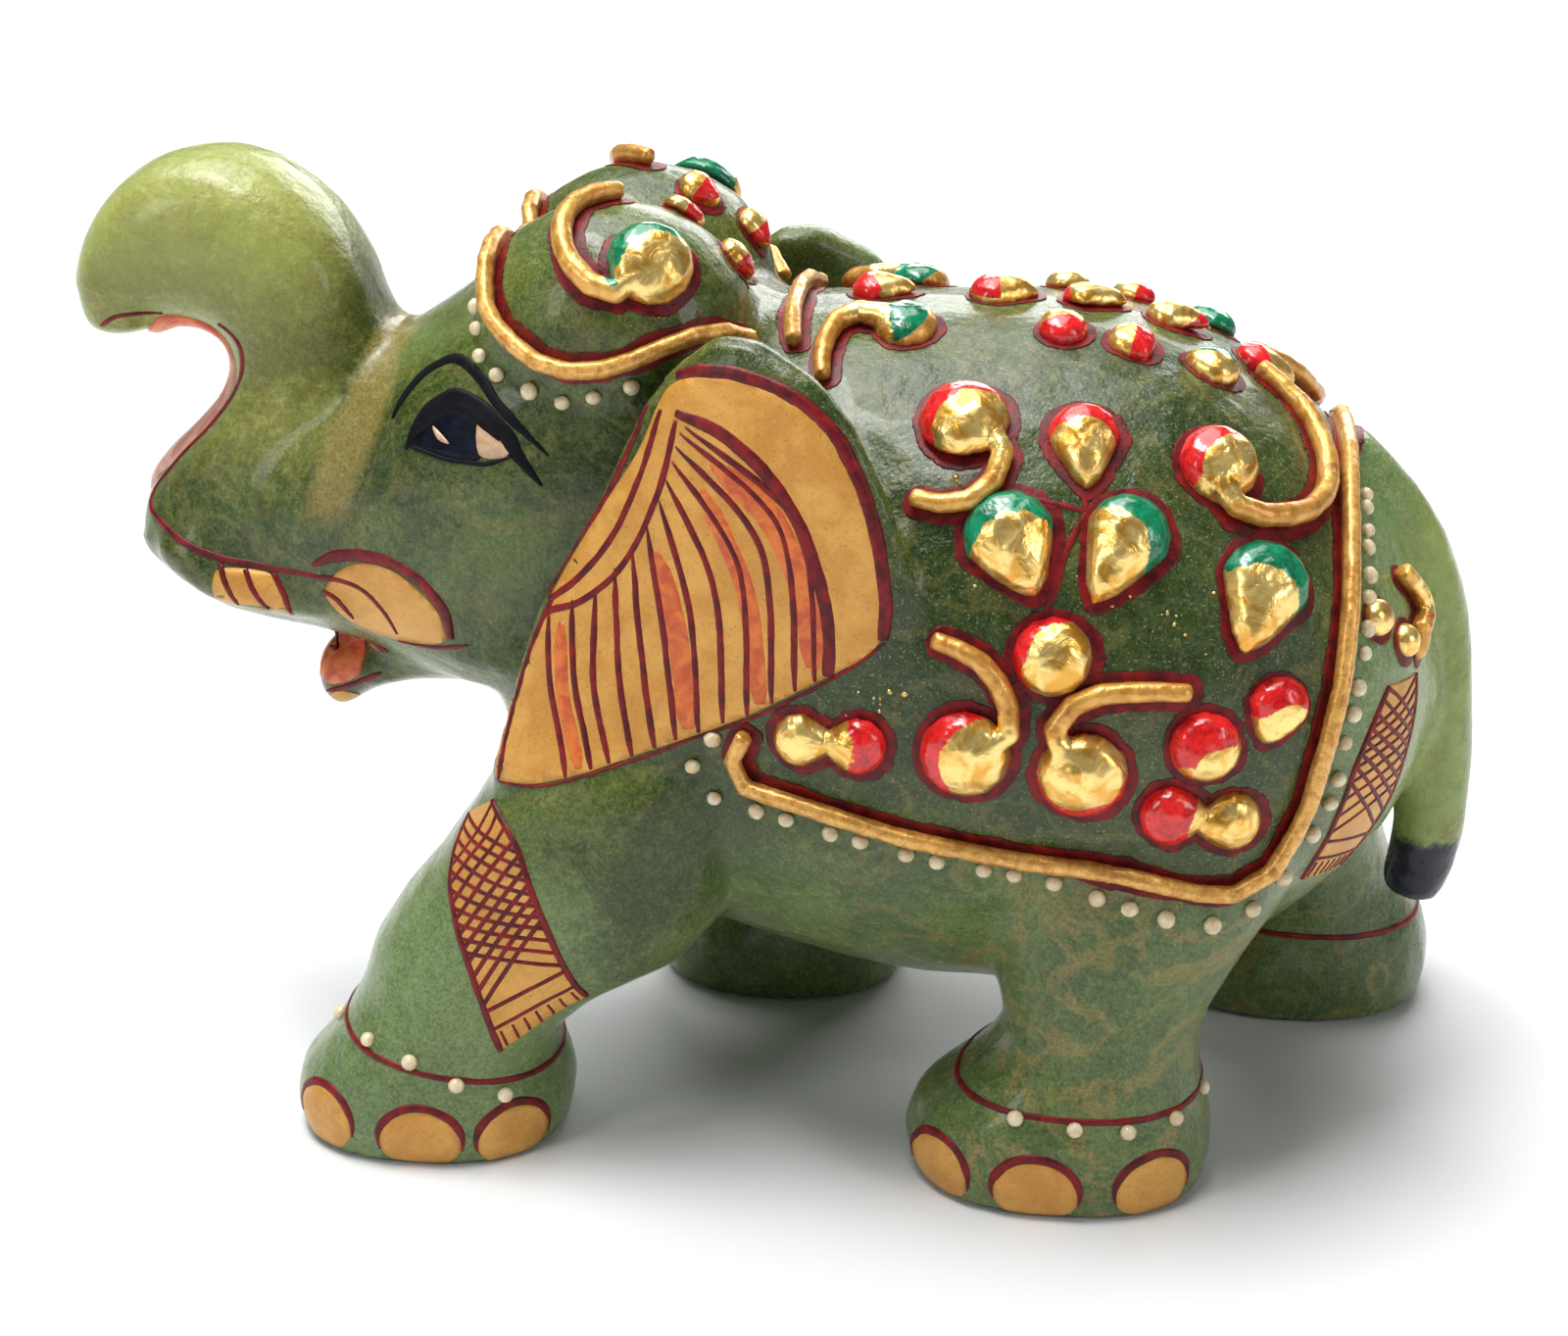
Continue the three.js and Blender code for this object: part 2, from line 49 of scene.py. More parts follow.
def evened(node, name, cell, rounds):
    """A copy of a CAD node with its loose triangles merged, given an even skin and rubbed smooth."""
    piece = bpy.data.objects.new(name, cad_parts[node].data.copy())
    scene.collection.objects.link(piece)
    piece.data.materials.clear()
    bm = bmesh.new()
    bm.from_mesh(piece.data)
    bmesh.ops.remove_doubles(bm, verts=bm.verts, dist=2e-6)
    bm.to_mesh(piece.data)
    bm.free()
    skin = piece.modifiers.new("skin", "REMESH")
    skin.mode = "VOXEL"
    skin.voxel_size = cell
    rub = piece.modifiers.new("rub", "SMOOTH")
    rub.factor = 0.5
    rub.iterations = rounds
    return settle(piece)


def settle(piece):
    """The piece with its modifiers worked into its mesh, and smooth faces."""
    looks = bpy.context.evaluated_depsgraph_get()
    mesh = bpy.data.meshes.new_from_object(piece.evaluated_get(looks))
    piece.modifiers.clear()
    piece.data = mesh
    for face in mesh.polygons:
        face.use_smooth = True
    return piece


stone = evened("carved_elephant", "stone_elephant", 0.48 * MM, 20)

# The fold between trunk and head is rubbed softer than the rest. The wheel leaves shallow flats and
# hollows a few millimetres across, fainter towards the soles.
skin = bmesh.new()
skin.from_mesh(stone.data)
bmesh.ops.scale(skin, vec=(1000, 1000, 1000), verts=skin.verts[:])
crease = [vertex for vertex in skin.verts if vertex.co.x < -19 and 37 < vertex.co.z < 53]
for _ in range(24):
    bmesh.ops.smooth_vert(skin, verts=crease, factor=0.5, use_axis_x=True, use_axis_y=True, use_axis_z=True)
skin.normal_update()
sawn = BVHTree.FromBMesh(skin)
for vertex in skin.verts:
    at = vertex.co.copy()
    near, next_near = noise.voronoi(at * 0.16)[0][:2]
    flats = min(next_near - near, 0.5) * 0.12
    swell = noise.noise(at * 0.11) * 0.16 + noise.noise(at * 0.45) * 0.035 + flats
    vertex.co += vertex.normal * swell * min(1, max(0, (at.z - 0.6) / 2))
ground = BVHTree.FromBMesh(skin)
bmesh.ops.scale(skin, vec=(MM, MM, MM), verts=skin.verts[:])
skin.to_mesh(stone.data)
skin.free()


class Tone:
    """A shader socket that Python arithmetic can be done on. Each sum adds one Math node."""

    def __init__(self, nodes, socket):
        self.nodes = nodes
        self.socket = socket

    def sum(self, kind, *others):
        return self.nodes.add("ShaderNodeMath", {"operation": kind}, [self, *others])[0]

    def __add__(self, other):
        return self.sum("ADD", other)

    def __sub__(self, other):
        return self.sum("SUBTRACT", other)

    def __mul__(self, other):
        return self.sum("MULTIPLY", other)

    def __rsub__(self, other):
        return (self * -1) + other

    __radd__ = __add__
    __rmul__ = __mul__

    def least(self, other):
        return self.sum("MINIMUM", other)

    def between(self, low, high):
        """0 below low, 1 above high, easing in between. low may be above high."""
        made = self.nodes.add("ShaderNodeMapRange", {"interpolation_type": "SMOOTHSTEP"},
                              {"Value": self, "From Min": low, "From Max": high})
        return made[0]


class Finish:
    """One material: its nodes, and the shader they end in."""

    def __init__(self, name, **shader):
        self.material = bpy.data.materials.new(name)
        self.material.use_nodes = True
        self.tree = self.material.node_tree
        self.shader = self.tree.nodes["Principled BSDF"]
        self.set(**shader)
        place = self.add("ShaderNodeTexCoord", {}, {})
        self.place = self.add("ShaderNodeVectorMath", {"operation": "SCALE"},
                              {"Vector": place[3], "Scale": 1000.0})[0]
        parts = self.add("ShaderNodeSeparateXYZ", {}, [self.place])
        self.x, self.y, self.z = parts[0], parts[1], parts[2]

    def link(self, socket, value):
        if isinstance(value, Tone):
            self.tree.links.new(value.socket, socket)
        elif hasattr(socket.default_value, "__len__") and len(socket.default_value) == 4 and len(value) == 3:
            socket.default_value = (*value, 1.0)
        else:
            socket.default_value = value

    def add(self, kind, settings, inputs):
        """A node with its settings and inputs given; what comes back is the list of its outputs."""
        node = self.tree.nodes.new(kind)
        for key, value in settings.items():
            setattr(node, key, value)
        pairs = inputs.items() if isinstance(inputs, dict) else enumerate(inputs)
        for key, value in pairs:
            self.link(node.inputs[key], value)
        return [Tone(self, out) for out in node.outputs]

    def set(self, **inputs):
        for key, value in inputs.items():
            self.link(self.shader.inputs[key.replace("_", " ")], value)

    def grain(self, scale, detail=3.0, roughness=0.55, distortion=0.0):
        """Soft noise from 0 to 1, `scale` to the millimetre."""
        return self.add("ShaderNodeTexNoise", {},
                        {"Vector": self.place, "Scale": scale, "Detail": detail,
                         "Roughness": roughness, "Distortion": distortion})[0]

    def blend(self, share, first, second):
        """A colour mixed from two."""
        node = self.tree.nodes.new("ShaderNodeMix")
        node.data_type = "RGBA"
        for socket, value in ((node.inputs[0], share), (node.inputs[6], first), (node.inputs[7], second)):
            self.link(socket, value)
        return Tone(self, node.outputs[2])

    def bump(self, height, depth):
        """A bump from a height of 0 to 1, `depth` millimetres deep."""
        made = self.add("ShaderNodeBump", {}, {"Height": height, "Strength": 1.0, "Distance": depth * MM})
        self.set(Normal=made[0])


polish = Finish("polished green stone", Coat_Weight=0.22, Coat_Roughness=0.06, IOR=1.5,
                Specular_IOR_Level=0.36, Subsurface_Weight=0.10, Subsurface_Radius=(1.0, 1.4, 0.4),
                Subsurface_Scale=1.2 * MM)
clouds = polish.grain(0.10, 5, 0.62, 0.5)
flecks = polish.grain(1.3, 5, 0.72, 0.3)
pepper = polish.grain(4.6, 3, 0.7)
mottle = clouds * 0.7 + flecks * 0.3
grains = (pepper * 0.72 + flecks * 0.28).between(0.36, 0.64)
deep = polish.blend(grains, (0.013, 0.027, 0.002), (0.052, 0.080, 0.011))
light = polish.blend(grains, (0.052, 0.082, 0.010), (0.125, 0.170, 0.034))
green = polish.blend(mottle.between(0.40, 0.60), deep, light)
# The stone is darker where the saddle cloth is marked out, and paler in the forelegs and the rump. The belly
# and the low rear half get painted light thrown up from the sheet below, and the upper end of the right ear
# is painted lighter as painted light shining through it.
cloth = (polish.z + polish.x * 0.26).between(28.0, 30.5) * polish.x.between(-2, 1) * polish.x.between(36, 34)
green = polish.blend(cloth * 0.45, green, (0.016, 0.034, 0.008))
foreleg = polish.x.between(-7, -12) * polish.z.between(23, 17) * 0.7
ear_top_glow = polish.y.between(14, 17) * polish.z.between(46, 50)
rump = polish.x.between(33.5, 38) * polish.z.between(14, 20)
belly_bounce_light = polish.z.between(26, 20) * polish.x.between(-6, 0) * 0.3
paler_stone_and_light = (foreleg + ear_top_glow + rump + belly_bounce_light).least(1.0)
green = polish.blend(paler_stone_and_light * 0.72, green, polish.blend(grains, (0.135, 0.215, 0.068), (0.27, 0.39, 0.16)))
# Thin parts let the light through: the trunk is olive and the tail a clear yellow green.
trunk_glow = polish.x.between(-24, -32) * polish.z.between(39, 47)
olive = polish.blend(mottle.between(0.36, 0.60),
                     polish.blend(grains, (0.115, 0.122, 0.012), (0.175, 0.182, 0.026)),
                     polish.blend(grains, (0.27, 0.275, 0.044), (0.41, 0.410, 0.100)))
green = polish.blend(trunk_glow * 0.85, green, olive)
# Painted light: a pale rim, standing for the light let through at the stone's edges. A known fault:
# this pale rim is mixed by the angle of view, so it slides, and a baked copy loses it.
edge = polish.add("ShaderNodeLayerWeight", {}, {"Blend": 0.35})[1]
green = polish.blend(edge.between(0.15, 0.75) * (trunk_glow * 0.55 + 0.12), green, (0.36, 0.46, 0.17))
green = polish.blend(trunk_glow * polish.z.between(49, 58) * 0.5, green, (0.42, 0.46, 0.13))
tail_glow = polish.x.between(38, 42) * polish.z.between(12, 17)
clear = polish.blend(mottle.between(0.36, 0.6), (0.17, 0.23, 0.035), (0.30, 0.37, 0.10))
green = polish.blend(tail_glow * 0.8, green, clear)
# Rusty veins: one fills the fold between trunk and head, others run through the neck and the belly.
off_fold = polish.x - polish.z * 0.37 + 42.7 + (clouds - 0.5) * 3
fold = (1 - (off_fold * off_fold * 0.30).least(1.0)) * polish.z.between(38.5, 41.5)
fold = fold * polish.y.between(7, 5) * polish.y.between(-12, -10)
off_vein = polish.grain(0.12, 4, 0.5, 1.5) - 0.5
vein = 1 - (off_vein * off_vein * 700).least(1.0)
low = polish.z.between(27, 18) * polish.x.between(2, 12) * 0.8 + polish.z.between(20, 26) * 0.25
rust = (vein * low + fold * 1.3).least(1.0)
green = polish.blend(rust * 0.85, green, polish.blend(grains, (0.17, 0.135, 0.028), (0.30, 0.235, 0.075)))
# Painted glints: pale specks, painted in as the sparkle of the polished stone, most of all under the cloth.
glint_specks = polish.grain(6.0, 2, 0.6).between(0.60, 0.70)
green = polish.blend(glint_specks * (cloth * 0.30 + 0.20), green, (0.36, 0.42, 0.22))
# The end of the tail is dipped in blue-black paint.
tip = (polish.z + (flecks - 0.5) * 2).between(18.6, 17.8) * polish.x.between(36.5, 37.2)
tip = tip * polish.y.between(5, 4.4) * polish.y.between(-5, -4.4)
polish.set(Base_Color=polish.blend(tip, green, (0.010, 0.012, 0.022)))
polish.set(Roughness=flecks.between(0.35, 0.7) * 0.16 + 0.15)
polish.bump(flecks * 0.6 + polish.grain(0.5, 3, 0.5) * 2.4 + pepper * 0.3, 0.13)
stone.data.materials.append(polish.material)
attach(stone, "root")
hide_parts("carved_elephant")

# ---------------------------------------------------------------------------------------------------
# The raised drops: dabs of stiff paste squeezed on while wet, so each is a soft dome and some end in a
# curled tail. Crinkled gold leaf covers them, a brush has put red or green enamel on one side, and a dark
# red line runs round the foot of each. The gilt tails are the same paste, painted with bronze powder.
# ---------------------------------------------------------------------------------------------------
def rest(point, tree=None):
    """The nearest place on the stone, in millimetres, and the way it faces."""
    spot, facing, _, _ = (tree or ground).find_nearest(point)
    return spot, facing


def make(name, bm, finish):
    """A smooth piece from a mesh in millimetres."""
    bmesh.ops.scale(bm, vec=(MM, MM, MM), verts=bm.verts[:])
    mesh = bpy.data.meshes.new(name)
    bm.to_mesh(mesh)
    bm.free()
    for face in mesh.polygons:
        face.use_smooth = True
    piece = bpy.data.objects.new(name, mesh)
    scene.collection.objects.link(piece)
    mesh.materials.append(finish.material)
    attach(piece, "root")
    return piece


def ease(value, low, high):
    share = min(1, max(0, (value - low) / (high - low)))
    return share * share * (3 - 2 * share)


def reseated(piece, ripple, fuller):
    """Moves a piece with the stone under it, sinks its foot and gives it the unevenness of handwork."""
    bm = bmesh.new()
    bm.from_mesh(piece.data)
    for vertex in bm.verts:
        at = vertex.co / MM
        before, facing = rest(at, sawn)
        height = (at - before).dot(facing)
        lumps = noise.noise(at * 0.9) * ripple + noise.noise(at * 2.6) * ripple * 0.4
        sink = 0.4 * (1 - ease(height, 0.0, 0.35))
        vertex.co = (at + rest(before)[0] - before + facing * (lumps * ease(height, 0, 0.5) - sink)
                     + vertex.normal * fuller) * MM
    bm.to_mesh(piece.data)
    bm.free()
    return piece


def outlined(piece, name, width, finish):
    """The dark line round the foot of a raised piece: its own outline, spread and pressed flat.

    The paint has run a little towards the tail and down.
    """
    bm = bmesh.new()
    bm.from_mesh(piece.data)
    bmesh.ops.scale(bm, vec=(1000, 1000, 1000), verts=bm.verts[:])
    bm.normal_update()
    for vertex in bm.verts:
        spot, facing = rest(vertex.co)
        outward = vertex.normal - facing * vertex.normal.dot(facing)
        above = (vertex.co - spot).dot(facing) > -0.05 and vertex.normal.dot(facing) > -0.2
        spread = width * (1 + 0.45 * noise.noise(spot * 0.5) + 0.2 * noise.noise(spot * 1.9))
        spot, facing = rest(spot + outward * spread + Vector((0.10, 0, -0.10)))
        vertex.co = spot + facing * (0.07 if above else -0.12)
    return make(name, bm, finish)


def leaf_finish(name, enamel_dark, enamel_light):
    """Gold leaf with one side enamelled, and tails of bronze paint."""
    leaf = Finish(name, Coat_Weight=0.45, Coat_Roughness=0.06)
    cap = leaf.add("ShaderNodeAttribute", {"attribute_name": "cap"}, {})[2]
    tail = leaf.add("ShaderNodeAttribute", {"attribute_name": "tail"}, {})[2]
    crinkle = leaf.grain(0.55, 4, 0.55, 1.0)
    fine = leaf.grain(3.2, 3, 0.6, 0.6)
    worn = leaf.grain(0.9, 6, 0.75, 0.6)
    gold = leaf.blend(crinkle.between(0.36, 0.58), (0.74, 0.37, 0.045), (1.0, 0.72, 0.24))
    gold = leaf.blend(fine.between(0.60, 0.74) * 0.4, gold, (0.46, 0.19, 0.02))
    gold = leaf.blend(worn.between(0.66, 0.74) * 0.7, gold, (0.26, 0.07, 0.012))
    bronze = leaf.blend(crinkle.between(0.3, 0.7), (0.50, 0.20, 0.025), (0.82, 0.46, 0.10))
    gold = leaf.blend(tail, gold, bronze)
    enamel = leaf.blend(worn.between(0.35, 0.6), enamel_dark, enamel_light)
    ragged = (cap + (fine - 0.5) * 0.35 + (crinkle - 0.5) * 0.8).between(0.44, 0.54)
    leaf.set(Base_Color=leaf.blend(ragged, gold, enamel))
    leaf.set(Metallic=(1 - ragged) * (0.84 - tail * 0.34 - worn.between(0.66, 0.74) * 0.4))
    leaf.set(Roughness=0.25 + fine * 0.10 + tail * 0.08 - ragged * 0.10)
    leaf.bump(crinkle * 1.5 + fine * 0.12, 0.10)
    return leaf


SIDES = (("left", 1), ("right", -1))
noise.seed_set(7)
red_leaf = leaf_finish("gold leaf and red enamel", (0.42, 0.002, 0.004), (0.80, 0.018, 0.018))
green_leaf = leaf_finish("gold leaf and green enamel", (0.0, 0.090, 0.040), (0.002, 0.24, 0.105))

lacquer = Finish("dark red line", Specular_IOR_Level=0.3)
pooled = lacquer.grain(0.9, 4, 0.6)
lacquer.set(Base_Color=lacquer.blend(pooled.between(0.35, 0.65), (0.075, 0.002, 0.005),
                                     (0.220, 0.006, 0.007)))
lacquer.set(Roughness=0.34 + pooled * 0.2)
lacquer.bump(lacquer.grain(3.0, 3, 0.6), 0.04)

# Each drop: the radius of its dome, which way its enamel lies (along the body, up) and how far in it
# starts, in radii. The rest of the drop is left gold.
DROPS = {
    "scroll_front_top": (1.9, (0.4, 0.4), 0.0), "scroll_front": (2.7, (-0.5, 1), 0.42),
    "petal_top": (2.1, (0.1, 1), 0.35), "petal_front": (2.7, (-0.3, 1), 0.45),
    "petal_rear": (2.5, (0.8, 0.7), 0.42), "scroll_rear": (2.4, (-0.3, 1), 0.42),
    "bud_rear_top": (1.6, (0.2, 0.5), -0.1), "petal_low_rear": (2.7, (0.7, 0.8), 0.42),
    "bud_middle": (2.3, (-0.8, 0.4), 0.7), "scroll_low_front": (2.7, (-1, 0.3), 0.5),
    "scroll_low_rear": (2.7, (0.1, -1), 0.6), "bud_low_rear": (2.1, (-0.5, 1), 0.05),
    "bud_edge_rear": (1.8, (0, 1), 0.2), "bud_small_front": (1.5, (0, -1), -0.2),
    "bud_small_rear": (1.5, (1, -0.3), -0.1), "twin_corner_front": (3.6, (1, 0), 0.3),
    "twin_corner_rear": (3.6, (-1, 0.2), 0.25), "head_scroll": (2.6, (-0.3, 1), 0.5),
    "head_bud_1": (1.2, (0.3, -0.3), -0.5), "head_bud_2": (1.2, (0.3, -0.3), -0.5),
    "rump_pendant": (1.0, (0.3, -1), 1.1),
}
GREEN = ("scroll_front_top", "petal_front", "petal_rear", "bud_rear_top", "petal_low_rear", "head_scroll")
TAILED = ("scroll_front_top", "scroll_front", "scroll_rear", "scroll_low_front", "scroll_low_rear",
          "head_scroll", "rump_pendant")


def gilded(node, radius, way, start, finish, tailed):
    """A drop from its CAD node: smooth, gilded, enamelled on one side and outlined."""
    piece = reseated(evened(node, f"gilt_{node}", 0.14 * MM, 20 if radius > 1.3 else 6), 0.07, 0.17)
    spots = [vertex.co / MM for vertex in piece.data.vertices]
    heights = [(spot - rest(spot)[0]).length for spot in spots]
    top = max(heights)
    crown = [spot for spot, height in zip(spots, heights) if height > top * 0.86]
    middle = sum(crown, Vector()) / len(crown)
    facing = rest(middle)[1]
    lean = Vector((way[0], 0, way[1]))
    lean = (lean - facing * lean.dot(facing)).normalized()
    cap = piece.data.attributes.new("cap", "FLOAT", "POINT")
    tail = piece.data.attributes.new("tail", "FLOAT", "POINT")
    cap.data.foreach_set("value", [
        ease((spot - middle + lean * radius * 0.55).length / radius, start + 0.25, start + 0.85)
        * ease((spot - middle).dot(lean) / radius, -0.5 - start, 0.3)
        * (1 - ease((spot - middle).length / radius, 1.2, 1.4)) for spot in spots])
    tail.data.foreach_set("value", [
        ease((spot - middle).length / radius, 1.2, 1.45) if tailed else 0.0 for spot in spots])
    piece.data.materials.append(finish.material)
    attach(piece, "root")
    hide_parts(node)
    outlined(piece, f"outline_{node}", 0.56 if radius > 2 else 0.44, lacquer)


for side_name, side in SIDES:
    for node, (radius, way, start) in DROPS.items():
        gilded(f"{node}_{side_name}", radius, way, start, green_leaf if node in GREEN else red_leaf,
               node in TAILED)

# ---------------------------------------------------------------------------------------------------
# The long drops in single file along the ridge of the back, red on the side towards the head.
# ---------------------------------------------------------------------------------------------------
for number, start in ((1, 0.2), (2, 0.0), (3, 0.9), (4, 0.7), (5, 0.3)):
    gilded(f"ridge_drop_{number}", 1.6, (-1 if number != 4 else 1, 0), start, red_leaf, False)

# ---------------------------------------------------------------------------------------------------
# The stems of the flower are drawn with the same red line, and crumbs of loose leaf have stuck to the
# varnish between the drops and were left there.
# ---------------------------------------------------------------------------------------------------
def coat(name, bm, finish):
    """Makes a piece of a skin laid in millimetres, closed by a second skin sunk in the stone."""
    sunk = 0.25
    under = bmesh.ops.extrude_face_region(bm, geom=bm.faces[:], use_keep_orig=True)["geom"]
    for vertex in [part for part in under if isinstance(part, bmesh.types.BMVert)]:
        spot, facing = rest(vertex.co)
        vertex.co = spot - facing * sunk
    bmesh.ops.recalc_face_normals(bm, faces=bm.faces[:])
    return make(name, bm, finish)


def along(guides, share):
    """A point on the smooth curve through the guides, share of the way from the first to the last."""
    place = min(max(share, 0), 1) * (len(guides) - 1)
    first = min(int(place), len(guides) - 2)
    t = place - first
    a, b, c, d = (guides[min(max(first + i, 0), len(guides) - 1)] for i in (-1, 0, 1, 2))
    return 0.5 * (2 * b + (c - a) * t + (2 * a - 5 * b + 4 * c - d) * t * t
                  + (3 * b - a - 3 * c + d) * t * t * t)


def stroke(bm, guides, width, start, end, lift=0.09):
    """One stroke of a loaded brush through the guides.

    start and end are how much of its width it has at its two ends, and lift how thick the paint is.
    """
    stride = 0.45
    guides = [Vector(guide) for guide in guides]
    length = sum((b - a).length for a, b in zip(guides, guides[1:]))
    pieces = max(3, round(length / stride))
    for vertex in bmesh.ops.create_grid(bm, x_segments=pieces, y_segments=4, size=1)["verts"]:
        share, aside = (vertex.co.x + 1) / 2, vertex.co.y
        ahead = along(guides, share + 0.01) - along(guides, share - 0.01)
        spot, facing = rest(along(guides, share))
        half = width / 2 * min(1, start + share * 4, end + (1 - share) * 4)
        half += min(0.22 * half, 0.07) * noise.noise(spot * 0.9 + Vector((0, 0, aside)))
        spot, facing = rest(spot + facing.cross(ahead).normalized() * aside * half)
        vertex.co = spot + facing * lift * (1.3 - 0.9 * aside * aside)


def flipped(guides, side, stride=None):
    """The guides for one side of the animal. Its right legs stand further back, by stride(z)."""
    return [(x + (stride(z) if stride and side < 0 else 0), y * side, z) for x, y, z in guides]


STEMS = [
    [(19.4, -14.9, 46.4), (20.0, -16.2, 44.4), (20.4, -17.5, 42.4), (20.3, -18.6, 40.5)],
    [(20.1, -16.1, 44.6), (18.9, -17.4, 42.4), (18.4, -18.4, 40.4), (17.8, -18.8, 38.9)],
    [(12.6, -16.9, 44.9), (15.4, -15.9, 45.4), (17.6, -16.0, 44.8), (20.0, -16.2, 44.4)],
]
crumb_leaf = Finish("loose gold leaf", Coat_Weight=0.3, Coat_Roughness=0.1)
crumple = crumb_leaf.grain(3.0, 3, 0.6, 1.0)
crumb_leaf.set(Base_Color=crumb_leaf.blend(crumple.between(0.35, 0.65), (0.62, 0.33, 0.05),
                                           (1.0, 0.76, 0.30)))
crumb_leaf.set(Metallic=0.8 + crumple * 0.2, Roughness=0.22 + crumple * 0.2)
crumb_leaf.bump(crumple, 0.05)
CRUMBS = [  # the middle of each scatter, and how far it spreads
    (17.2, -18.6, 40.6, 3.2), (14.4, -18.2, 41.0, 1.6), (21.5, -18.0, 41.4, 2.6), (-6.5, -12.4, 55.0, 2.0),
    (8.5, -18.0, 33.5, 3.0), (12.2, -16.4, 46.8, 1.6), (19.6, -15.2, 46.6, 1.2), (25.0, -17.0, 38.0, 3.0),
]
FLAKES = 9
for side_name, side in SIDES:
    stems = bmesh.new()
    for guides in STEMS:
        stroke(stems, flipped(guides, side), 0.42, 0.4, 0.3, 0.07)
    coat(f"flower_stems_{side_name}", stems, lacquer)
    crumbs = bmesh.new()
    for x, y, z, spread in CRUMBS:
        for flake_number in range(FLAKES):
            shift = noise.random_unit_vector() * spread * noise.random()
            spot, facing = rest(Vector((x, y * side, z)) + shift)
            size = 0.08 + 0.20 * noise.random() ** 2
            flake = bmesh.ops.create_icosphere(crumbs, subdivisions=1, radius=size)["verts"]
            bmesh.ops.scale(crumbs, vec=(1, 0.7, 0.25), verts=flake)
            turn = facing.to_track_quat("Z", "Y").to_matrix().to_4x4()
            turn = turn @ Matrix.Rotation(flake_number * 1.3, 4, "Z")
            bmesh.ops.transform(crumbs, matrix=Matrix.Translation(spot + facing * 0.03) @ turn, verts=flake)
    make(f"leaf_crumbs_{side_name}", crumbs, crumb_leaf)

# ---------------------------------------------------------------------------------------------------
# The two beads of paste below the pendant cord on each side of the rump, each with a smaller bead set on
# it. They carry no cap, so all four come out gilded; each has its dark outline.
# ---------------------------------------------------------------------------------------------------
def bead(name, place, radius, finish, dome=0.55):
    """A low dome of paste, rounder than a drop."""
    bm = bmesh.new()
    spot, facing = rest(Vector(place))
    turn = facing.to_track_quat("Z", "Y").to_matrix().to_4x4()
    ball = bmesh.ops.create_icosphere(bm, subdivisions=4, radius=radius)["verts"]
    bmesh.ops.scale(bm, vec=(1, 1, dome * 1.5), verts=ball)
    bmesh.ops.transform(bm, matrix=Matrix.Translation(spot + facing * radius * 0.05) @ turn, verts=ball)
    for vertex in ball:
        vertex.co += facing * noise.noise(vertex.co * 1.1) * 0.08
    piece = make(name, bm, finish)
    outlined(piece, f"outline_{name}", 0.4, lacquer)


for side_name, side in SIDES:
    bead(f"pendant_bead_1_{side_name}", (37.3, -11.7 * side, 37.0), 1.15, red_leaf)
    bead(f"pendant_bead_2_{side_name}", (39.3, -9.9 * side, 35.0), 1.05, red_leaf)
    bead(f"pendant_eye_{side_name}", (37.6, -12.1 * side, 37.2), 0.42, green_leaf, 1.3)
    bead(f"pendant_tip_{side_name}", (39.6, -10.1 * side, 34.6), 0.45, red_leaf, 1.2)

# ---------------------------------------------------------------------------------------------------
# The cords: paste piped in one line round the edge of the saddle cloth and of the head cloth, painted
# with bronze powder in varnish. A dark red line runs along both sides.
# ---------------------------------------------------------------------------------------------------
bronze_paint = Finish("bronze paint", Coat_Weight=0.35, Coat_Roughness=0.15)
brushed = bronze_paint.grain(1.6, 4, 0.65, 0.8)
dust = bronze_paint.grain(12, 2, 0.6)
bronze = bronze_paint.blend(brushed.between(0.32, 0.66), (0.50, 0.20, 0.025), (0.80, 0.45, 0.10))
bronze_paint.set(Base_Color=bronze_paint.blend(dust.between(0.56, 0.70) * 0.6, bronze, (1.0, 0.78, 0.40)))
bronze_paint.set(Metallic=0.45 + dust.between(0.5, 0.7) * 0.35, Roughness=0.30 + brushed * 0.18)
bronze_paint.bump(brushed * 0.8 + dust * 0.2, 0.06)

for node in ("saddle_cord", "head_cord", "brow_cord", "neck_band"):
    cord = reseated(evened(node, f"gilt_{node}", 0.15 * MM, 10), 0.06, 0.0)
    cord.data.materials.append(bronze_paint.material)
    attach(cord, "root")
    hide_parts(node)
    outlined(cord, f"outline_{node}", 0.46, lacquer)

# ---------------------------------------------------------------------------------------------------
# The pearl dots: drops of thick cream paint let fall from the end of a stick, each a little different.
# They run outside both cords and round the ankles of the feet.
# ---------------------------------------------------------------------------------------------------
pearl_paint = Finish("cream pearl paint", Coat_Weight=0.35, Coat_Roughness=0.12, Subsurface_Weight=0.15,
                     Subsurface_Radius=(1.0, 0.8, 0.5), Subsurface_Scale=0.5 * MM)
chalk = pearl_paint.grain(1.4, 4, 0.6)
pearl_paint.set(Base_Color=pearl_paint.blend(chalk.between(0.3, 0.7), (0.60, 0.47, 0.25), (0.84, 0.74, 0.52)))
pearl_paint.set(Roughness=0.26 + chalk * 0.2)
pearl_paint.bump(pearl_paint.grain(5.0, 2, 0.5), 0.05)


DOT_RADIUS = 0.52


def dots(name, places, replaced=None):
    """A row of separate dots, each a low dome that has slumped a little."""
    bm = bmesh.new()
    for place in places:
        spot, facing = rest(place)
        size = DOT_RADIUS * (1 + 0.16 * noise.noise(spot * 3.1))
        turn = facing.to_track_quat("Z", "Y").to_matrix().to_4x4()
        ball = bmesh.ops.create_icosphere(bm, subdivisions=2, radius=size)["verts"]
        bmesh.ops.scale(bm, vec=(1.0, 1.0 + 0.2 * noise.noise(spot * 2.3), 0.85), verts=ball)
        bmesh.ops.transform(bm, matrix=Matrix.Translation(spot + facing * size * 0.28) @ turn, verts=ball)
    piece = make(name, bm, pearl_paint)
    if replaced:
        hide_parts(replaced)


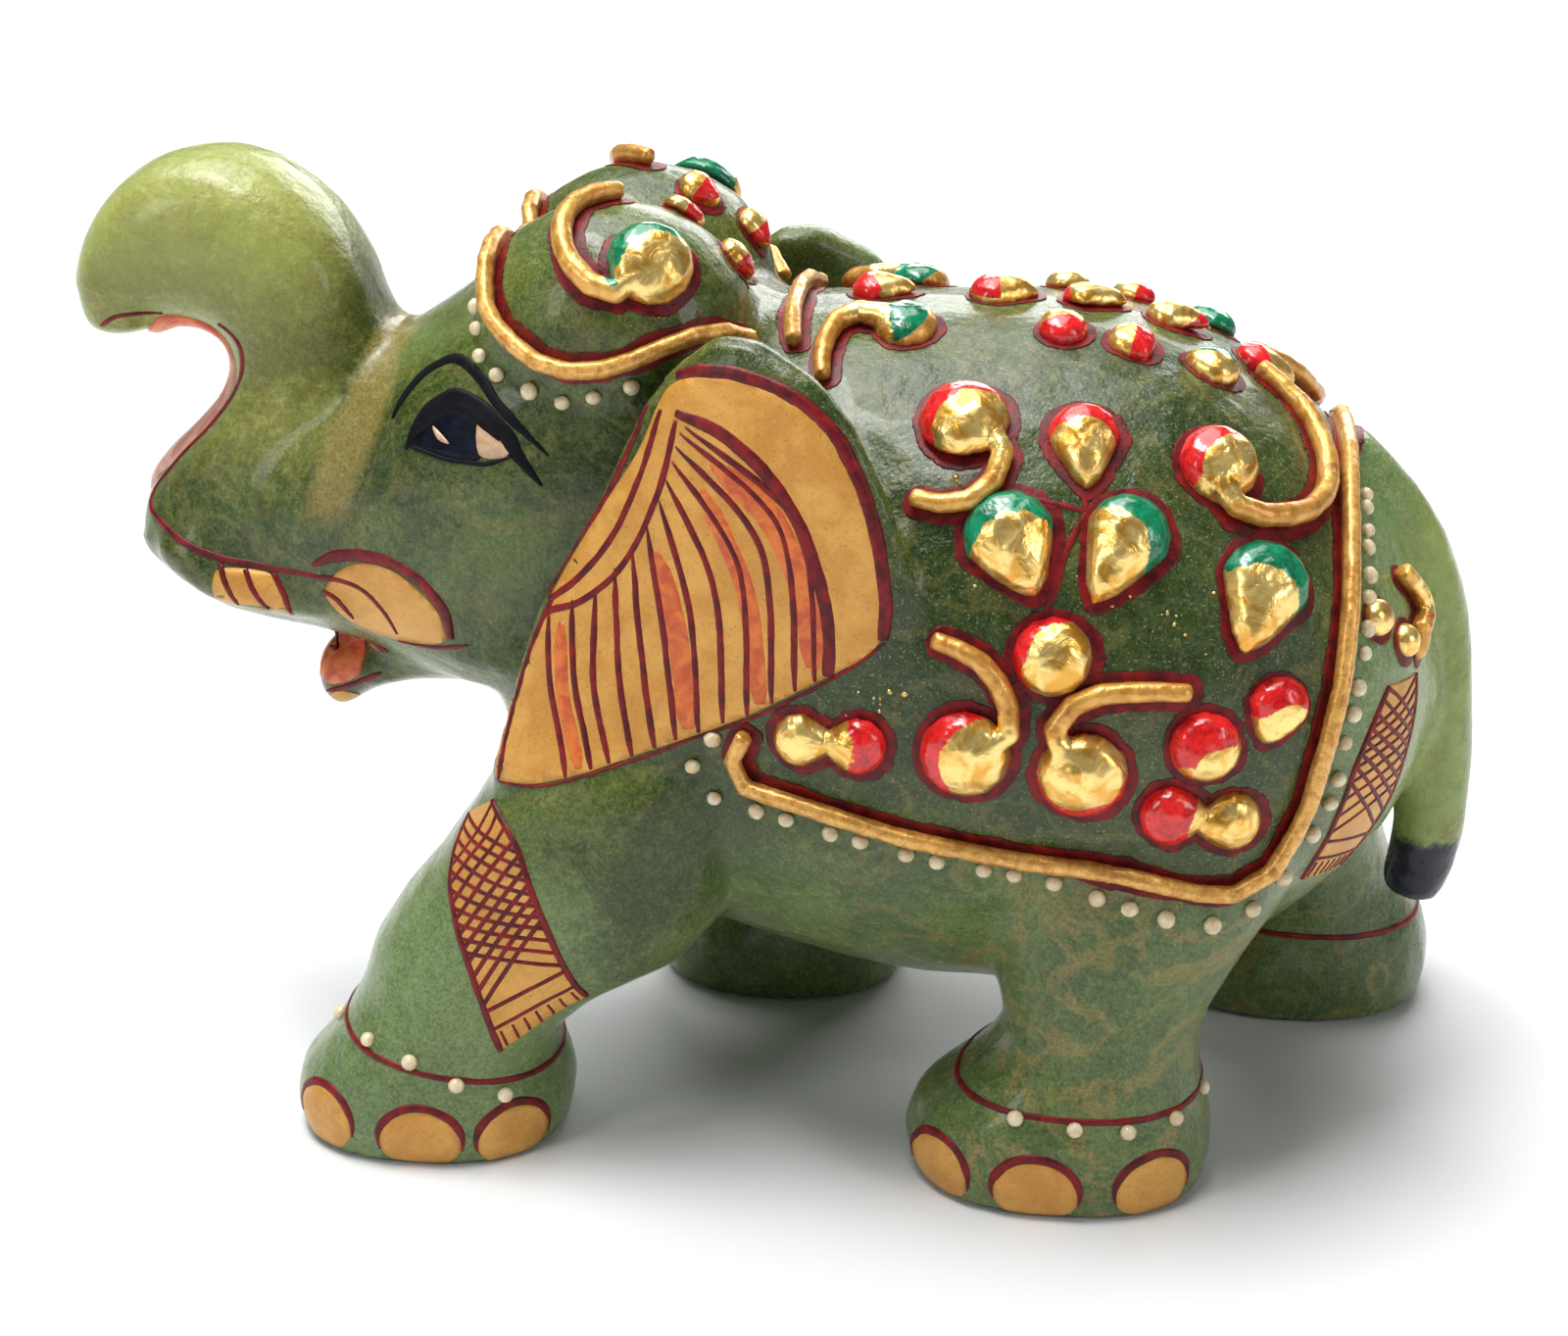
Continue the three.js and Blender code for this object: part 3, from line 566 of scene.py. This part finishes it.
def dot_places(node):
    """The middles of the dots on a CAD string of pearls: its highest points, gathered up."""
    spots = [vertex.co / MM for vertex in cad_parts[node].data.vertices]
    heights = [(spot - rest(spot, sawn)[0]).length for spot in spots]
    least_apart = 1.25
    found = []
    for height, spot in sorted(zip(heights, map(tuple, spots)), reverse=True):
        spot = Vector(spot)
        if height > max(heights) * 0.45 and all((spot - other).length > least_apart for other in found):
            found.append(spot)
    return found


for side_name, side in SIDES:
    for node in (f"saddle_pearls_{side_name}", f"head_pearls_{side_name}"):
        dots(f"dots_{node}", dot_places(node), node)

# ---------------------------------------------------------------------------------------------------
# The painted ears: a flat field of ochre bronze paint, with the folds of the skin drawn on it in dark red
# and a few folds touched with orange. All of it is brushed straight on the stone, both sides alike.
# ---------------------------------------------------------------------------------------------------
ochre = Finish("ochre bronze paint", Coat_Weight=0.25, Coat_Roughness=0.2)
wash = ochre.grain(0.35, 5, 0.6, 0.5)
powder = ochre.grain(14, 2, 0.7)
ochre_tone = ochre.blend(wash.between(0.35, 0.65), (0.54, 0.235, 0.026), (0.68, 0.345, 0.060))
ochre_tone = ochre.blend(powder.between(0.54, 0.72) * 0.5, ochre_tone, (0.86, 0.55, 0.17))
worn_through = ochre.grain(5, 3, 0.7).between(0.56, 0.70) * 0.5
ochre.set(Base_Color=ochre.blend(worn_through, ochre_tone, (0.26, 0.075, 0.012)))
ochre.set(Metallic=0.15 + powder.between(0.5, 0.7) * 0.3, Roughness=0.42 + wash * 0.15)
ochre.bump(powder * 0.5 + ochre.grain(2.5, 3, 0.6) * 0.5, 0.04)

orange = Finish("orange paint", Coat_Weight=0.25, Coat_Roughness=0.2)
streak = orange.grain(0.8, 4, 0.6, 0.6)
orange.set(Base_Color=orange.blend(streak.between(0.35, 0.65), (0.50, 0.060, 0.004), (0.68, 0.16, 0.012)))
orange.set(Roughness=0.4 + streak * 0.15)
orange.bump(orange.grain(4.0, 3, 0.6), 0.04)


def field(name, outline, side, finish, lift=0.05):
    """A flat patch with a smooth outline, pressed on the stone from the side of the animal.

    Where it would hang over the edge of an ear it's cut off.
    """
    cell, cliff = 0.6, 1.3
    rim = [Vector((x, 0, z)) for x, z in outline]
    count = len(rim)
    bm = bmesh.new()
    ring = []
    for i in range(count):
        around = [rim[(i + j) % count] for j in (-1, 0, 1, 2)]
        ring += [along(around, 1 / 3 + step / 12) for step in range(4)]
    bm.faces.new([bm.verts.new(spot) for spot in ring])
    for axis, low, high in ((0, min(x for x, z in outline), max(x for x, z in outline)),
                            (2, min(z for x, z in outline), max(z for x, z in outline))):
        for cut in range(1, int((high - low) / cell) + 1):
            place, facing = Vector(), Vector()
            place[axis], facing[axis] = low + cut * cell, 1
            bmesh.ops.bisect_plane(bm, geom=bm.verts[:] + bm.edges[:] + bm.faces[:], dist=1e-5,
                                   plane_co=place, plane_no=facing)
    for vertex in bm.verts:
        x, _, z = vertex.co
        spot, facing, _, _ = ground.ray_cast(Vector((x, -60 * side, z)), Vector((0, side, 0)))
        if spot is None:
            spot, facing = rest(Vector((x, -12 * side, z)))
        vertex.co = spot + facing * lift
    bmesh.ops.triangulate(bm, faces=bm.faces[:])
    hanging = [face for face in bm.faces if max(corner.co.y for corner in face.verts)
               - min(corner.co.y for corner in face.verts) > cliff]
    bmesh.ops.delete(bm, geom=hanging, context="FACES")
    return coat(name, bm, finish)


EAR_FIELD = [(-5.1, 50.0), (-4.1, 51.3), (-2.2, 51.9), (0.1, 51.9), (2.5, 51.3), (4.8, 49.8), (6.6, 47.4),
             (7.8, 44.4), (8.5, 41.0), (8.5, 37.6), (7.3, 36.0), (5.6, 34.9), (-0.3, 31.4), (-6.4, 28.7),
             (-11.9, 26.6), (-15.4, 25.9), (-15.3, 28.0), (-14.5, 31.2), (-13.1, 34.9), (-11.5, 38.5),
             (-8.9, 43.0), (-6.4, 47.0)]
EAR_LINES = [
    [(-4.1, -15.8, 51.7), (-1.9, -16.7, 52.2), (0.4, -17.5, 52.1), (3.1, -18.2, 51.2), (5.4, -18.8, 49.4),
     (7.0, -19.2, 46.6), (8.0, -19.5, 43.5), (8.6, -19.7, 39.8), (8.5, -19.7, 37.2)],
    [(-4.0, -16.6, 49.6), (-1.3, -17.6, 48.8), (1.4, -18.5, 46.8), (3.5, -19.1, 43.8), (4.8, -19.4, 40.3),
     (5.3, -19.5, 37.2), (5.3, -19.4, 34.7)],
]
EAR_STRAP = [
    [(-6.0, -15.4, 49.8), (-7.3, -15.8, 46.6), (-9.3, -15.7, 42.9), (-11.3, -15.0, 39.8),
     (-12.3, -15.2, 37.6)],
    [(-5.0, -16.2, 49.7), (-6.1, -16.5, 46.0), (-7.9, -16.5, 42.0), (-10.2, -16.2, 39.0),
     (-12.1, -15.6, 37.4)],
    [(-4.0, -16.7, 49.2), (-5.0, -17.0, 45.0), (-7.0, -17.0, 40.7), (-9.5, -16.6, 38.0),
     (-12.0, -15.9, 36.8)],
]
EAR_FOLDS = [
    [(-12.0, -15.9, 36.7), (-11.9, -16.9, 32.3), (-10.8, -18.5, 27.0)],
    [(-10.5, -16.3, 37.7), (-10.3, -17.3, 32.5), (-9.2, -18.7, 27.7)],
    [(-9.0, -16.7, 38.6), (-9.1, -17.5, 32.7), (-8.1, -18.6, 28.1)],
    [(-7.8, -16.8, 40.0), (-7.5, -17.7, 33.4), (-6.7, -18.4, 28.6)],
    [(-6.7, -17.0, 41.3), (-6.1, -17.8, 34.8), (-5.3, -18.5, 29.2)],
    [(-5.8, -17.1, 42.9), (-4.7, -17.9, 36.2), (-4.0, -18.6, 29.8)],
    [(-5.0, -17.1, 44.4), (-3.1, -18.1, 37.9), (-2.6, -18.7, 30.4)],
    [(-4.6, -17.1, 45.7), (-1.6, -18.3, 39.5), (-1.1, -18.9, 31.1)],
    [(-4.2, -17.0, 46.8), (-0.1, -18.4, 41.0), (0.4, -19.0, 31.8)],
    [(-4.0, -17.0, 47.7), (1.2, -18.6, 42.3), (1.9, -19.1, 32.7)],
    [(-3.7, -16.9, 48.5), (2.4, -18.8, 43.4), (3.3, -19.3, 33.6)],
    [(-3.4, -17.0, 48.9), (3.4, -18.9, 43.8), (4.5, -19.4, 34.3)],
]
EAR_ORANGE = [
    (1.3, [(-11.2, -16.4, 36.3), (-11.1, -17.3, 31.9), (-10.0, -18.5, 27.6)]),
    (2.0, [(-5.3, -17.5, 41.3), (-3.9, -18.1, 36.6), (-3.2, -18.7, 30.6)]),
    (2.4, [(-1.8, -17.8, 47.0), (1.7, -18.7, 44.2), (3.9, -19.2, 39.6), (4.4, -19.4, 35.2)]),
    (1.7, [(-2.4, -17.8, 45.4), (0.3, -18.6, 39.6), (1.2, -19.1, 32.6)]),
]
EAR_EDGE = [(-11.9, -15.9, 37.6), (-13.4, -16.0, 34.4), (-14.7, -16.3, 30.6), (-15.5, -16.9, 25.9)]
EAR_FOOT = [(-15.4, -16.9, 25.8), (-11.9, -18.4, 26.4), (-6.4, -18.4, 28.4), (-0.3, -18.9, 31.1),
            (5.6, -19.4, 34.6), (8.6, -19.6, 37.0)]

for side_name, side in SIDES:
    field(f"ear_field_{side_name}", EAR_FIELD, side, ochre)
    touches = bmesh.new()
    for width, guides in EAR_ORANGE:
        stroke(touches, flipped(guides, side), width, 0.3, 0.5, 0.06)
    coat(f"ear_orange_{side_name}", touches, orange)
    lines = bmesh.new()
    stroke(lines, flipped(EAR_LINES[0], side), 0.85, 0.6, 0.8)
    stroke(lines, flipped(EAR_LINES[1], side), 0.95, 0.5, 0.8)
    for guides in EAR_STRAP:
        stroke(lines, flipped(guides, side), 0.46, 0.6, 0.9)
    for guides in EAR_FOLDS:
        stroke(lines, flipped(guides, side), 0.48, 0.25, 0.5)
    stroke(lines, flipped(EAR_EDGE, side), 0.42, 0.8, 0.6)
    stroke(lines, flipped(EAR_FOOT, side), 0.22, 0.6, 0.6)
    coat(f"ear_lines_{side_name}", lines, lacquer)

# ---------------------------------------------------------------------------------------------------
# The eyes: a long brow and a heavy upper lid in black, a dark blue iris, and a corner of warm white.
# ---------------------------------------------------------------------------------------------------
black = Finish("black paint", Specular_IOR_Level=0.12)
bristle = black.grain(1.2, 4, 0.6)
black.set(Base_Color=black.blend(bristle.between(0.3, 0.7), (0.002, 0.002, 0.003), (0.006, 0.006, 0.009)))
black.set(Roughness=0.42 + bristle * 0.2)
black.bump(black.grain(4, 3, 0.6), 0.04)
navy = Finish("dark blue paint", Specular_IOR_Level=0.12)
depth = navy.grain(0.9, 3, 0.6)
navy.set(Base_Color=navy.blend(depth.between(0.3, 0.7), (0.001, 0.0015, 0.004), (0.006, 0.008, 0.024)))
navy.set(Roughness=0.3 + depth * 0.2)
warm = Finish("warm white paint", Coat_Weight=0.2)
cream = warm.grain(1.6, 4, 0.6)
warm.set(Base_Color=warm.blend(cream.between(0.3, 0.7), (0.48, 0.28, 0.15), (0.66, 0.45, 0.28)))
warm.set(Roughness=0.42 + cream * 0.15)

BROW = [(-23.0, -9.1, 46.5), (-22.3, -8.6, 47.9), (-20.9, -8.2, 49.4), (-18.8, -8.9, 50.4),
        (-17.0, -10.6, 49.7), (-15.6, -11.8, 48.3), (-14.0, -12.5, 47.0), (-12.4, -12.9, 45.6)]
LID = [(-21.9, -10.5, 45.0), (-21.0, -10.2, 46.5), (-19.9, -10.2, 47.7), (-18.5, -10.6, 48.4),
       (-16.8, -11.6, 48.0), (-15.4, -12.3, 46.9), (-14.3, -12.7, 45.5), (-12.8, -13.2, 43.8)]
LOWER_LID = [(-21.7, -10.5, 45.2), (-20.4, -11.1, 45.0), (-19.1, -11.7, 44.8), (-17.6, -12.2, 44.8),
             (-16.1, -12.6, 44.9), (-14.7, -12.7, 45.4)]
IRIS = [(-21.7, 45.2), (-20.9, 46.6), (-19.6, 47.7), (-17.9, 48.2), (-16.8, 47.7), (-16.6, 46.5),
        (-16.6, 45.3), (-17.6, 44.8), (-19.1, 44.9), (-20.4, 45.1)]
CORNER = [(-16.9, 47.3), (-16.0, 46.8), (-14.9, 45.8), (-15.4, 45.3), (-16.8, 45.4)]
GLINT = [(-20.0, 46.6), (-18.8, 45.8), (-19.6, 45.9)]
for side_name, side in SIDES:
    field(f"eye_iris_{side_name}", IRIS, side, navy, 0.04)
    field(f"eye_white_{side_name}", CORNER, side, warm, 0.07)
    field(f"eye_glint_{side_name}", GLINT, side, warm, 0.07)
    lashes = bmesh.new()
    stroke(lashes, flipped(BROW, side), 0.66, 0.25, 0.1)
    stroke(lashes, flipped(LID, side), 1.15, 0.25, 0.15)
    stroke(lashes, flipped(LOWER_LID, side), 0.3, 0.6, 0.2)
    stroke(lashes, [(x, y, z - 0.55) for x, y, z in flipped(LID[1:6], side)], 1.0, 0.3, 0.3, 0.10)
    coat(f"eye_lines_{side_name}", lashes, black)

# ---------------------------------------------------------------------------------------------------
# The trunk, the tusks and the mouth: a dark red line follows the front of the trunk and the lip, with a
# strip of pink skin before it, and the tongue is orange red. The short tusks, the chin and the cheek leaf
# are ochre, the tusks and the leaf barred with dark red.
# ---------------------------------------------------------------------------------------------------
flesh = Finish("pink paint", Coat_Weight=0.3, Coat_Roughness=0.15)
blush = flesh.grain(0.5, 4, 0.6, 0.6)
pink = flesh.blend(blush.between(0.35, 0.65), (0.60, 0.24, 0.17), (0.72, 0.40, 0.30))
tip_and_tongue = (flesh.z.between(48.0, 50.5) + flesh.z.between(36, 31)).least(1.0)
pink = flesh.blend(tip_and_tongue * 0.92, pink,
                   flesh.blend(blush.between(0.4, 0.6), (0.55, 0.05, 0.02), (0.72, 0.19, 0.035)))
flesh.set(Base_Color=pink, Roughness=0.34 + blush * 0.2)
flesh.bump(flesh.grain(3, 3, 0.6), 0.05)

TRUNK_LINE = [(-35.0, -4.4, 51.2), (-33.9, -5.1, 49.9), (-33.8, -5.1, 48.3), (-34.6, -4.8, 46.6),
              (-36.7, -4.4, 44.3), (-39.0, -4.2, 42.0), (-40.4, -4.2, 40.1), (-40.6, -5.0, 39.0),
              (-39.5, -6.3, 38.3), (-37.4, -7.6, 37.3), (-35.1, -7.9, 36.5), (-31.4, -8.3, 36.1),
              (-28.1, -8.9, 35.8)]
TRUNK_SKIN = [(-41.0, 0, 51.6), (-38.6, 0, 51.2), (-36.6, 0, 50.3), (-35.8, 0, 48.7), (-36.1, 0, 46.2),
              (-38.7, 0, 43.2), (-41.3, 0, 40.8), (-43.1, 0, 38.6)]
TIP_LINE = [(-43.1, -4.4, 50.4), (-42.1, -4.6, 51.1), (-40.9, -4.3, 51.4), (-39.0, -4.0, 51.4)]
TUSK_FIELD = [(-35.4, 35.4), (-34.5, 36.0), (-31.5, 35.7), (-30.6, 34.1), (-30.7, 32.5), (-33.0, 32.6),
              (-35.3, 33.3)]
TUSK_BARS = [[(-35.0, -8.0, 36.1), (-34.6, -8.7, 35.0), (-34.0, -8.2, 33.5)],
             [(-33.3, -8.2, 35.9), (-32.8, -8.9, 34.7), (-32.0, -8.4, 33.2)],
             [(-31.5, -8.3, 35.8), (-30.8, -8.8, 34.5), (-30.6, -8.1, 33.0)]]
LEAF_FIELD = [(-28.0, 35.0), (-26.8, 36.5), (-25.1, 37.3), (-23.0, 37.1), (-21.3, 36.0), (-20.1, 34.6),
              (-19.7, 32.8), (-21.0, 32.0), (-23.5, 31.7), (-26.2, 32.2), (-27.6, 33.8)]
LEAF_RIM = [(-28.7, -9.0, 36.6), (-27.2, -9.4, 37.4), (-25.1, -10.1, 37.8), (-23.0, -10.8, 37.6),
            (-21.1, -11.4, 36.6), (-19.7, -11.4, 34.7), (-19.5, -10.7, 32.8)]
LEAF_BARS = [[(-28.9, -8.7, 35.8), (-26.9, -9.2, 35.8), (-25.2, -9.6, 35.3), (-24.0, -9.7, 33.9),
              (-23.4, -8.9, 32.3)],
             [(-28.2, -8.7, 34.9), (-27.2, -8.8, 34.3), (-26.4, -8.2, 33.0)]]
JAW_LINE = [(-23.5, -8.5, 31.6), (-21.1, -9.6, 31.7), (-18.4, -10.7, 32.4)]
TONGUE_LINES = [[(-30.6, -1.2, 28.6), (-29.0, -3.2, 29.4), (-27.2, -4.6, 30.4)],
                [(-30.2, -2.6, 25.6), (-28.0, -3.8, 26.4), (-26.0, -4.6, 27.6)]]


def level(centre):
    """A spot on the stone near the centre, and the ways across and up the stone there."""
    spot, facing = rest(Vector(centre))
    across = Vector((0, 0, 1)).cross(facing).normalized()
    return spot, across, facing.cross(across)


def dab(bm, centre, wide, high, lift=0.06):
    """A small oval dab of paint, flat on the stone wherever it is put."""
    spot, across, upward = level(centre)
    for vertex in bmesh.ops.create_grid(bm, x_segments=10, y_segments=10, size=1)["verts"]:
        x = vertex.co.x * math.sqrt(1 - vertex.co.y ** 2 / 2)
        y = vertex.co.y * math.sqrt(1 - vertex.co.x ** 2 / 2)
        place, out = rest(spot + across * x * wide / 2 + upward * y * high / 2)
        vertex.co = place + out * lift


lips = bmesh.new()
stroke(lips, TRUNK_SKIN, 8.2, 0.6, 0.05, 0.45)
dab(lips, (-30.9, 0, 27.4), 5.0, 3.6, 0.05)
for side in (1, -1):
    dab(lips, (-29.2, -2.4 * side, 27.6), 4.6, 4.2, 0.04)
    dab(lips, (-27.2, -3.4 * side, 29.4), 4.0, 2.6, 0.04)
coat("trunk_and_tongue", lips, flesh)
for side_name, side in SIDES:
    field(f"tusk_field_{side_name}", TUSK_FIELD, side, ochre, 0.04)
    field(f"cheek_leaf_{side_name}", LEAF_FIELD, side, ochre, 0.04)
    chin = bmesh.new()
    dab(chin, (-29.0, -2.6 * side, 24.9), 2.2, 2.0, 0.05)
    coat(f"chin_spot_{side_name}", chin, ochre)
    bars = bmesh.new()
    stroke(bars, flipped(TRUNK_LINE, side), 0.5, 0.5, 0.5, 0.08)
    stroke(bars, flipped(TIP_LINE, side), 0.3, 0.5, 0.3, 0.08)
    for guides in TUSK_BARS:
        stroke(bars, flipped(guides, side), 0.4, 0.9, 0.5)
    stroke(bars, flipped(LEAF_RIM, side), 0.8, 0.3, 0.6)
    for guides in LEAF_BARS:
        stroke(bars, flipped(guides, side), 0.4, 0.4, 0.4)
    stroke(bars, flipped(JAW_LINE, side), 0.34, 0.5, 0.3, 0.08)
    dab(bars, (-26.2, -4.6 * side, 29.6), 2.0, 1.8, 0.08)
    for guides in TONGUE_LINES:
        stroke(bars, flipped(guides, side), 0.4, 0.3, 0.3)
    coat(f"mouth_lines_{side_name}", bars, lacquer)

# ---------------------------------------------------------------------------------------------------
# The leg cloths: an ochre band down each front leg and each thigh, crossed with a fine net of red lines,
# with a plain border and a fringe at its foot.
# ---------------------------------------------------------------------------------------------------
BAND_FRONT = [(-18.1, -15.0, 23.0), (-18.7, -16.4, 20.4), (-18.1, -18.5, 17.2), (-17.1, -19.4, 14.3),
              (-16.1, -19.6, 11.1), (-15.4, -18.9, 8.2)]
BAND_REAR = [(-15.9, -16.6, 24.4), (-14.0, -18.7, 22.6), (-12.9, -19.6, 19.8), (-12.0, -19.8, 17.2),
             (-10.9, -19.6, 14.2), (-9.6, -18.6, 11.4)]
THIGH_FRONT = [(38.2, -12.3, 32.9), (37.2, -13.8, 30.6), (36.3, -14.4, 27.9), (35.5, -14.2, 23.8),
               (34.6, -14.0, 20.0)]
THIGH_REAR = [(40.2, -9.0, 32.6), (40.0, -9.6, 29.8), (39.2, -10.0, 26.6), (38.2, -10.2, 23.0),
              (37.2, -10.4, 19.4)]
FRINGE = 0.80  # how far down the band its fringe starts


def band(bm, front, rear):
    """A strip of paint between two edges that lie on the stone."""
    lift = 0.06
    for vertex in bmesh.ops.create_grid(bm, x_segments=44, y_segments=16, size=1)["verts"]:
        share, aside = (vertex.co.x + 1) / 2, (vertex.co.y + 1) / 2
        spot, facing = rest(along(front, share).lerp(along(rear, share), aside))
        vertex.co = spot + facing * lift


def net(bm, front, rear, count):
    """The crossed lines, the two bars below them and the strokes of the fringe."""
    stroke(bm, front, 0.46, 0.8, 0.8, 0.11)
    stroke(bm, rear, 0.46, 0.8, 0.8, 0.11)
    reach = 0.22
    for i in range(count):
        top = i / count * (FRINGE - reach) + 0.02
        for first, second in ((front, rear), (rear, front)):
            stroke(bm, [along(first, top + reach * t / 4).lerp(along(second, top + reach * t / 4), t / 4)
                        for t in range(5)], 0.34, 0.9, 0.9, 0.10)
    for down in (FRINGE - 0.01, FRINGE + 0.07):
        stroke(bm, [along(front, down).lerp(along(rear, down), t / 4) for t in range(5)],
               0.32, 0.9, 0.9, 0.11)
    for i in range(7):
        aside = 0.08 + i * 0.14
        stroke(bm, [along(front, down).lerp(along(rear, down), aside)
                    for down in (FRINGE + 0.09, FRINGE + 0.16, 0.985)], 0.26, 0.8, 0.2, 0.10)


for side_name, side in SIDES:
    for title, front, rear, count, stride in (
            ("leg", BAND_FRONT, BAND_REAR, 10, lambda z: 19.0 - 0.43 * z),
            ("thigh", THIGH_FRONT, THIGH_REAR, 8, lambda z: 0.4)):
        edges = [[Vector(spot) for spot in flipped(edge, side, stride)] for edge in (front, rear)]
        strip, lattice = bmesh.new(), bmesh.new()
        band(strip, *edges)
        coat(f"{title}_band_{side_name}", strip, ochre)
        net(lattice, *edges, count)
        coat(f"{title}_net_{side_name}", lattice, lacquer)

# ---------------------------------------------------------------------------------------------------
# The feet: three ochre nails on each, arched over with dark red, and an ankle ring that is one dark line
# with five pearl dots.
# ---------------------------------------------------------------------------------------------------
# Each foot: its middle, how far back the right one stands, and the slope of its ankle line.
FEET = {"front": ((-21.1, -12.6), 20.0, -0.22), "hind": ((19.7, -13.8), 15.8, 0.0)}
ANKLE_DOTS = {
    "front": [(-26.9, -14.4, 7.7), (-24.0, -18.5, 8.2), (-21.1, -19.8, 7.5), (-18.2, -19.7, 6.0),
              (-15.4, -18.6, 4.9)],
    "hind": [(17.2, -20.6, 6.6), (20.8, -21.2, 6.4), (24.0, -20.7, 6.2), (26.8, -19.0, 6.4),
             (28.6, -15.3, 6.6)],
}
NAILS = {
    "front": [(-26.9, -17.6, 2.4), (-20.6, -20.2, 1.9), (-14.7, -18.4, 1.7)],
    "hind": [(12.4, -19.0, 2.0), (18.5, -21.7, 1.9), (25.9, -20.3, 2.0)],
}
for side_name, side in SIDES:
    for foot, ((x, y), stride, slope) in FEET.items():
        nails, arches = bmesh.new(), bmesh.new()
        for place in flipped(NAILS[foot], side, lambda z: stride):
            dab(nails, place, 5.4, 4.6)
            spot, across, upward = level(place)
            stroke(arches, [spot + across * 2.8 * math.cos(angle) + upward * 2.5 * math.sin(angle)
                            for angle in (math.radians(degrees) for degrees in range(-15, 196, 21))],
                   0.62, 0.2, 0.2, 0.09)
        middle = Vector((x + (stride if side < 0 else 0), y * side, 0))
        ring = []
        for turn in range(19):
            out = Matrix.Rotation(math.radians(turn * 20.3), 3, "Z") @ Vector((1, 0, 0))
            height = Vector((0, 0, 6.9 + slope * out.x * 7))
            spot = ground.ray_cast(middle + out * 11 + height, -out)[0]
            ring.append(spot or middle + out * 7 + height)
        stroke(arches, ring, 0.42, 1, 1, 0.07)
        coat(f"nails_{foot}_{side_name}", nails, ochre)
        coat(f"foot_lines_{foot}_{side_name}", arches, lacquer)
        dots(f"ankle_dots_{foot}_{side_name}",
             [Vector(place) for place in flipped(ANKLE_DOTS[foot], side, lambda z: stride)])

# ---------------------------------------------------------------------------------------------------
# The table: a white sheet, brighter far away so that it has no horizon, under soft light from above and
# from both sides.
# ---------------------------------------------------------------------------------------------------
sheet = bmesh.new()
bmesh.ops.create_grid(sheet, x_segments=1, y_segments=1, size=3.0)
floor_mesh = bpy.data.meshes.new("white_sheet")
sheet.to_mesh(floor_mesh)
sheet.free()
floor = bpy.data.objects.new("white_sheet", floor_mesh)
scene.collection.objects.link(floor)
paper = Finish("white sheet", Base_Color=(0.76, 0.772, 0.782), Roughness=0.75, Emission_Strength=0.32)
away = paper.add("ShaderNodeVectorMath", {"operation": "LENGTH"}, [paper.place])[1]
paper.set(Emission_Color=paper.blend(away.between(110, 420), (0, 0, 0), (1, 1, 1)))
floor_mesh.materials.append(paper.material)


def lamp(name, place, size, power, aim=(0, 0, 25)):
    """A soft rectangular light, placed and aimed in millimetres."""
    data = bpy.data.lights.new(name, "AREA")
    data.shape = "RECTANGLE"
    data.size, data.size_y = size[0] * MM, size[1] * MM
    data.energy = power
    made = bpy.data.objects.new(name, data)
    scene.collection.objects.link(made)
    made.location = Vector(place) * MM
    made.rotation_euler = (Vector(aim) - Vector(place)).to_track_quat("-Z", "Y").to_euler()
    return made


lamp("sky_panel", (-60, -40, 330), (200, 60), 0.7)
lamp("front_panel", (-230, -240, 200), (80, 150), 0.26)
lamp("side_panel", (260, -150, 150), (70, 130), 0.16)
lamp("back_panel", (60, 300, 170), (260, 90), 0.5)
noon = bpy.data.objects.new("overhead", bpy.data.lights.new("overhead", "SUN"))
noon.data.energy = 2.6
noon.data.angle = math.radians(50)
noon.rotation_euler = (math.radians(-14), math.radians(-10), 0)
scene.collection.objects.link(noon)
world = bpy.data.worlds.new("studio")
world.use_nodes = True
air = world.node_tree
seen = air.nodes.new("ShaderNodeLightPath")
strength = air.nodes.new("ShaderNodeMapRange")
strength.inputs["To Min"].default_value = 0.13
strength.inputs["To Max"].default_value = 1.0
air.links.new(seen.outputs["Is Camera Ray"], strength.inputs["Value"])
air.links.new(strength.outputs[0], air.nodes["Background"].inputs["Strength"])
air.nodes["Background"].inputs["Color"].default_value = (1, 1, 1, 1)
scene.world = world
scene.view_settings.view_transform = "Standard"

# The camera stands a little behind the middle of the left side and looks down on the saddle.
AZIMUTH, ELEVATION, DISTANCE = math.radians(7), math.radians(21), 187 * MM
aim = Vector((0.28, 0, 27.6)) * MM
toward = Vector((math.sin(AZIMUTH) * math.cos(ELEVATION), -math.cos(AZIMUTH) * math.cos(ELEVATION),
                 math.sin(ELEVATION)))
camera = bpy.data.objects.new("camera", bpy.data.cameras.new("camera"))
scene.collection.objects.link(camera)
camera.data.lens = 64.8
camera.data.sensor_width = 36
camera.data.clip_start = 0.01
camera.location = aim + toward * DISTANCE
camera.rotation_euler = (-toward).to_track_quat("-Z", "Y").to_euler()
scene.camera = camera
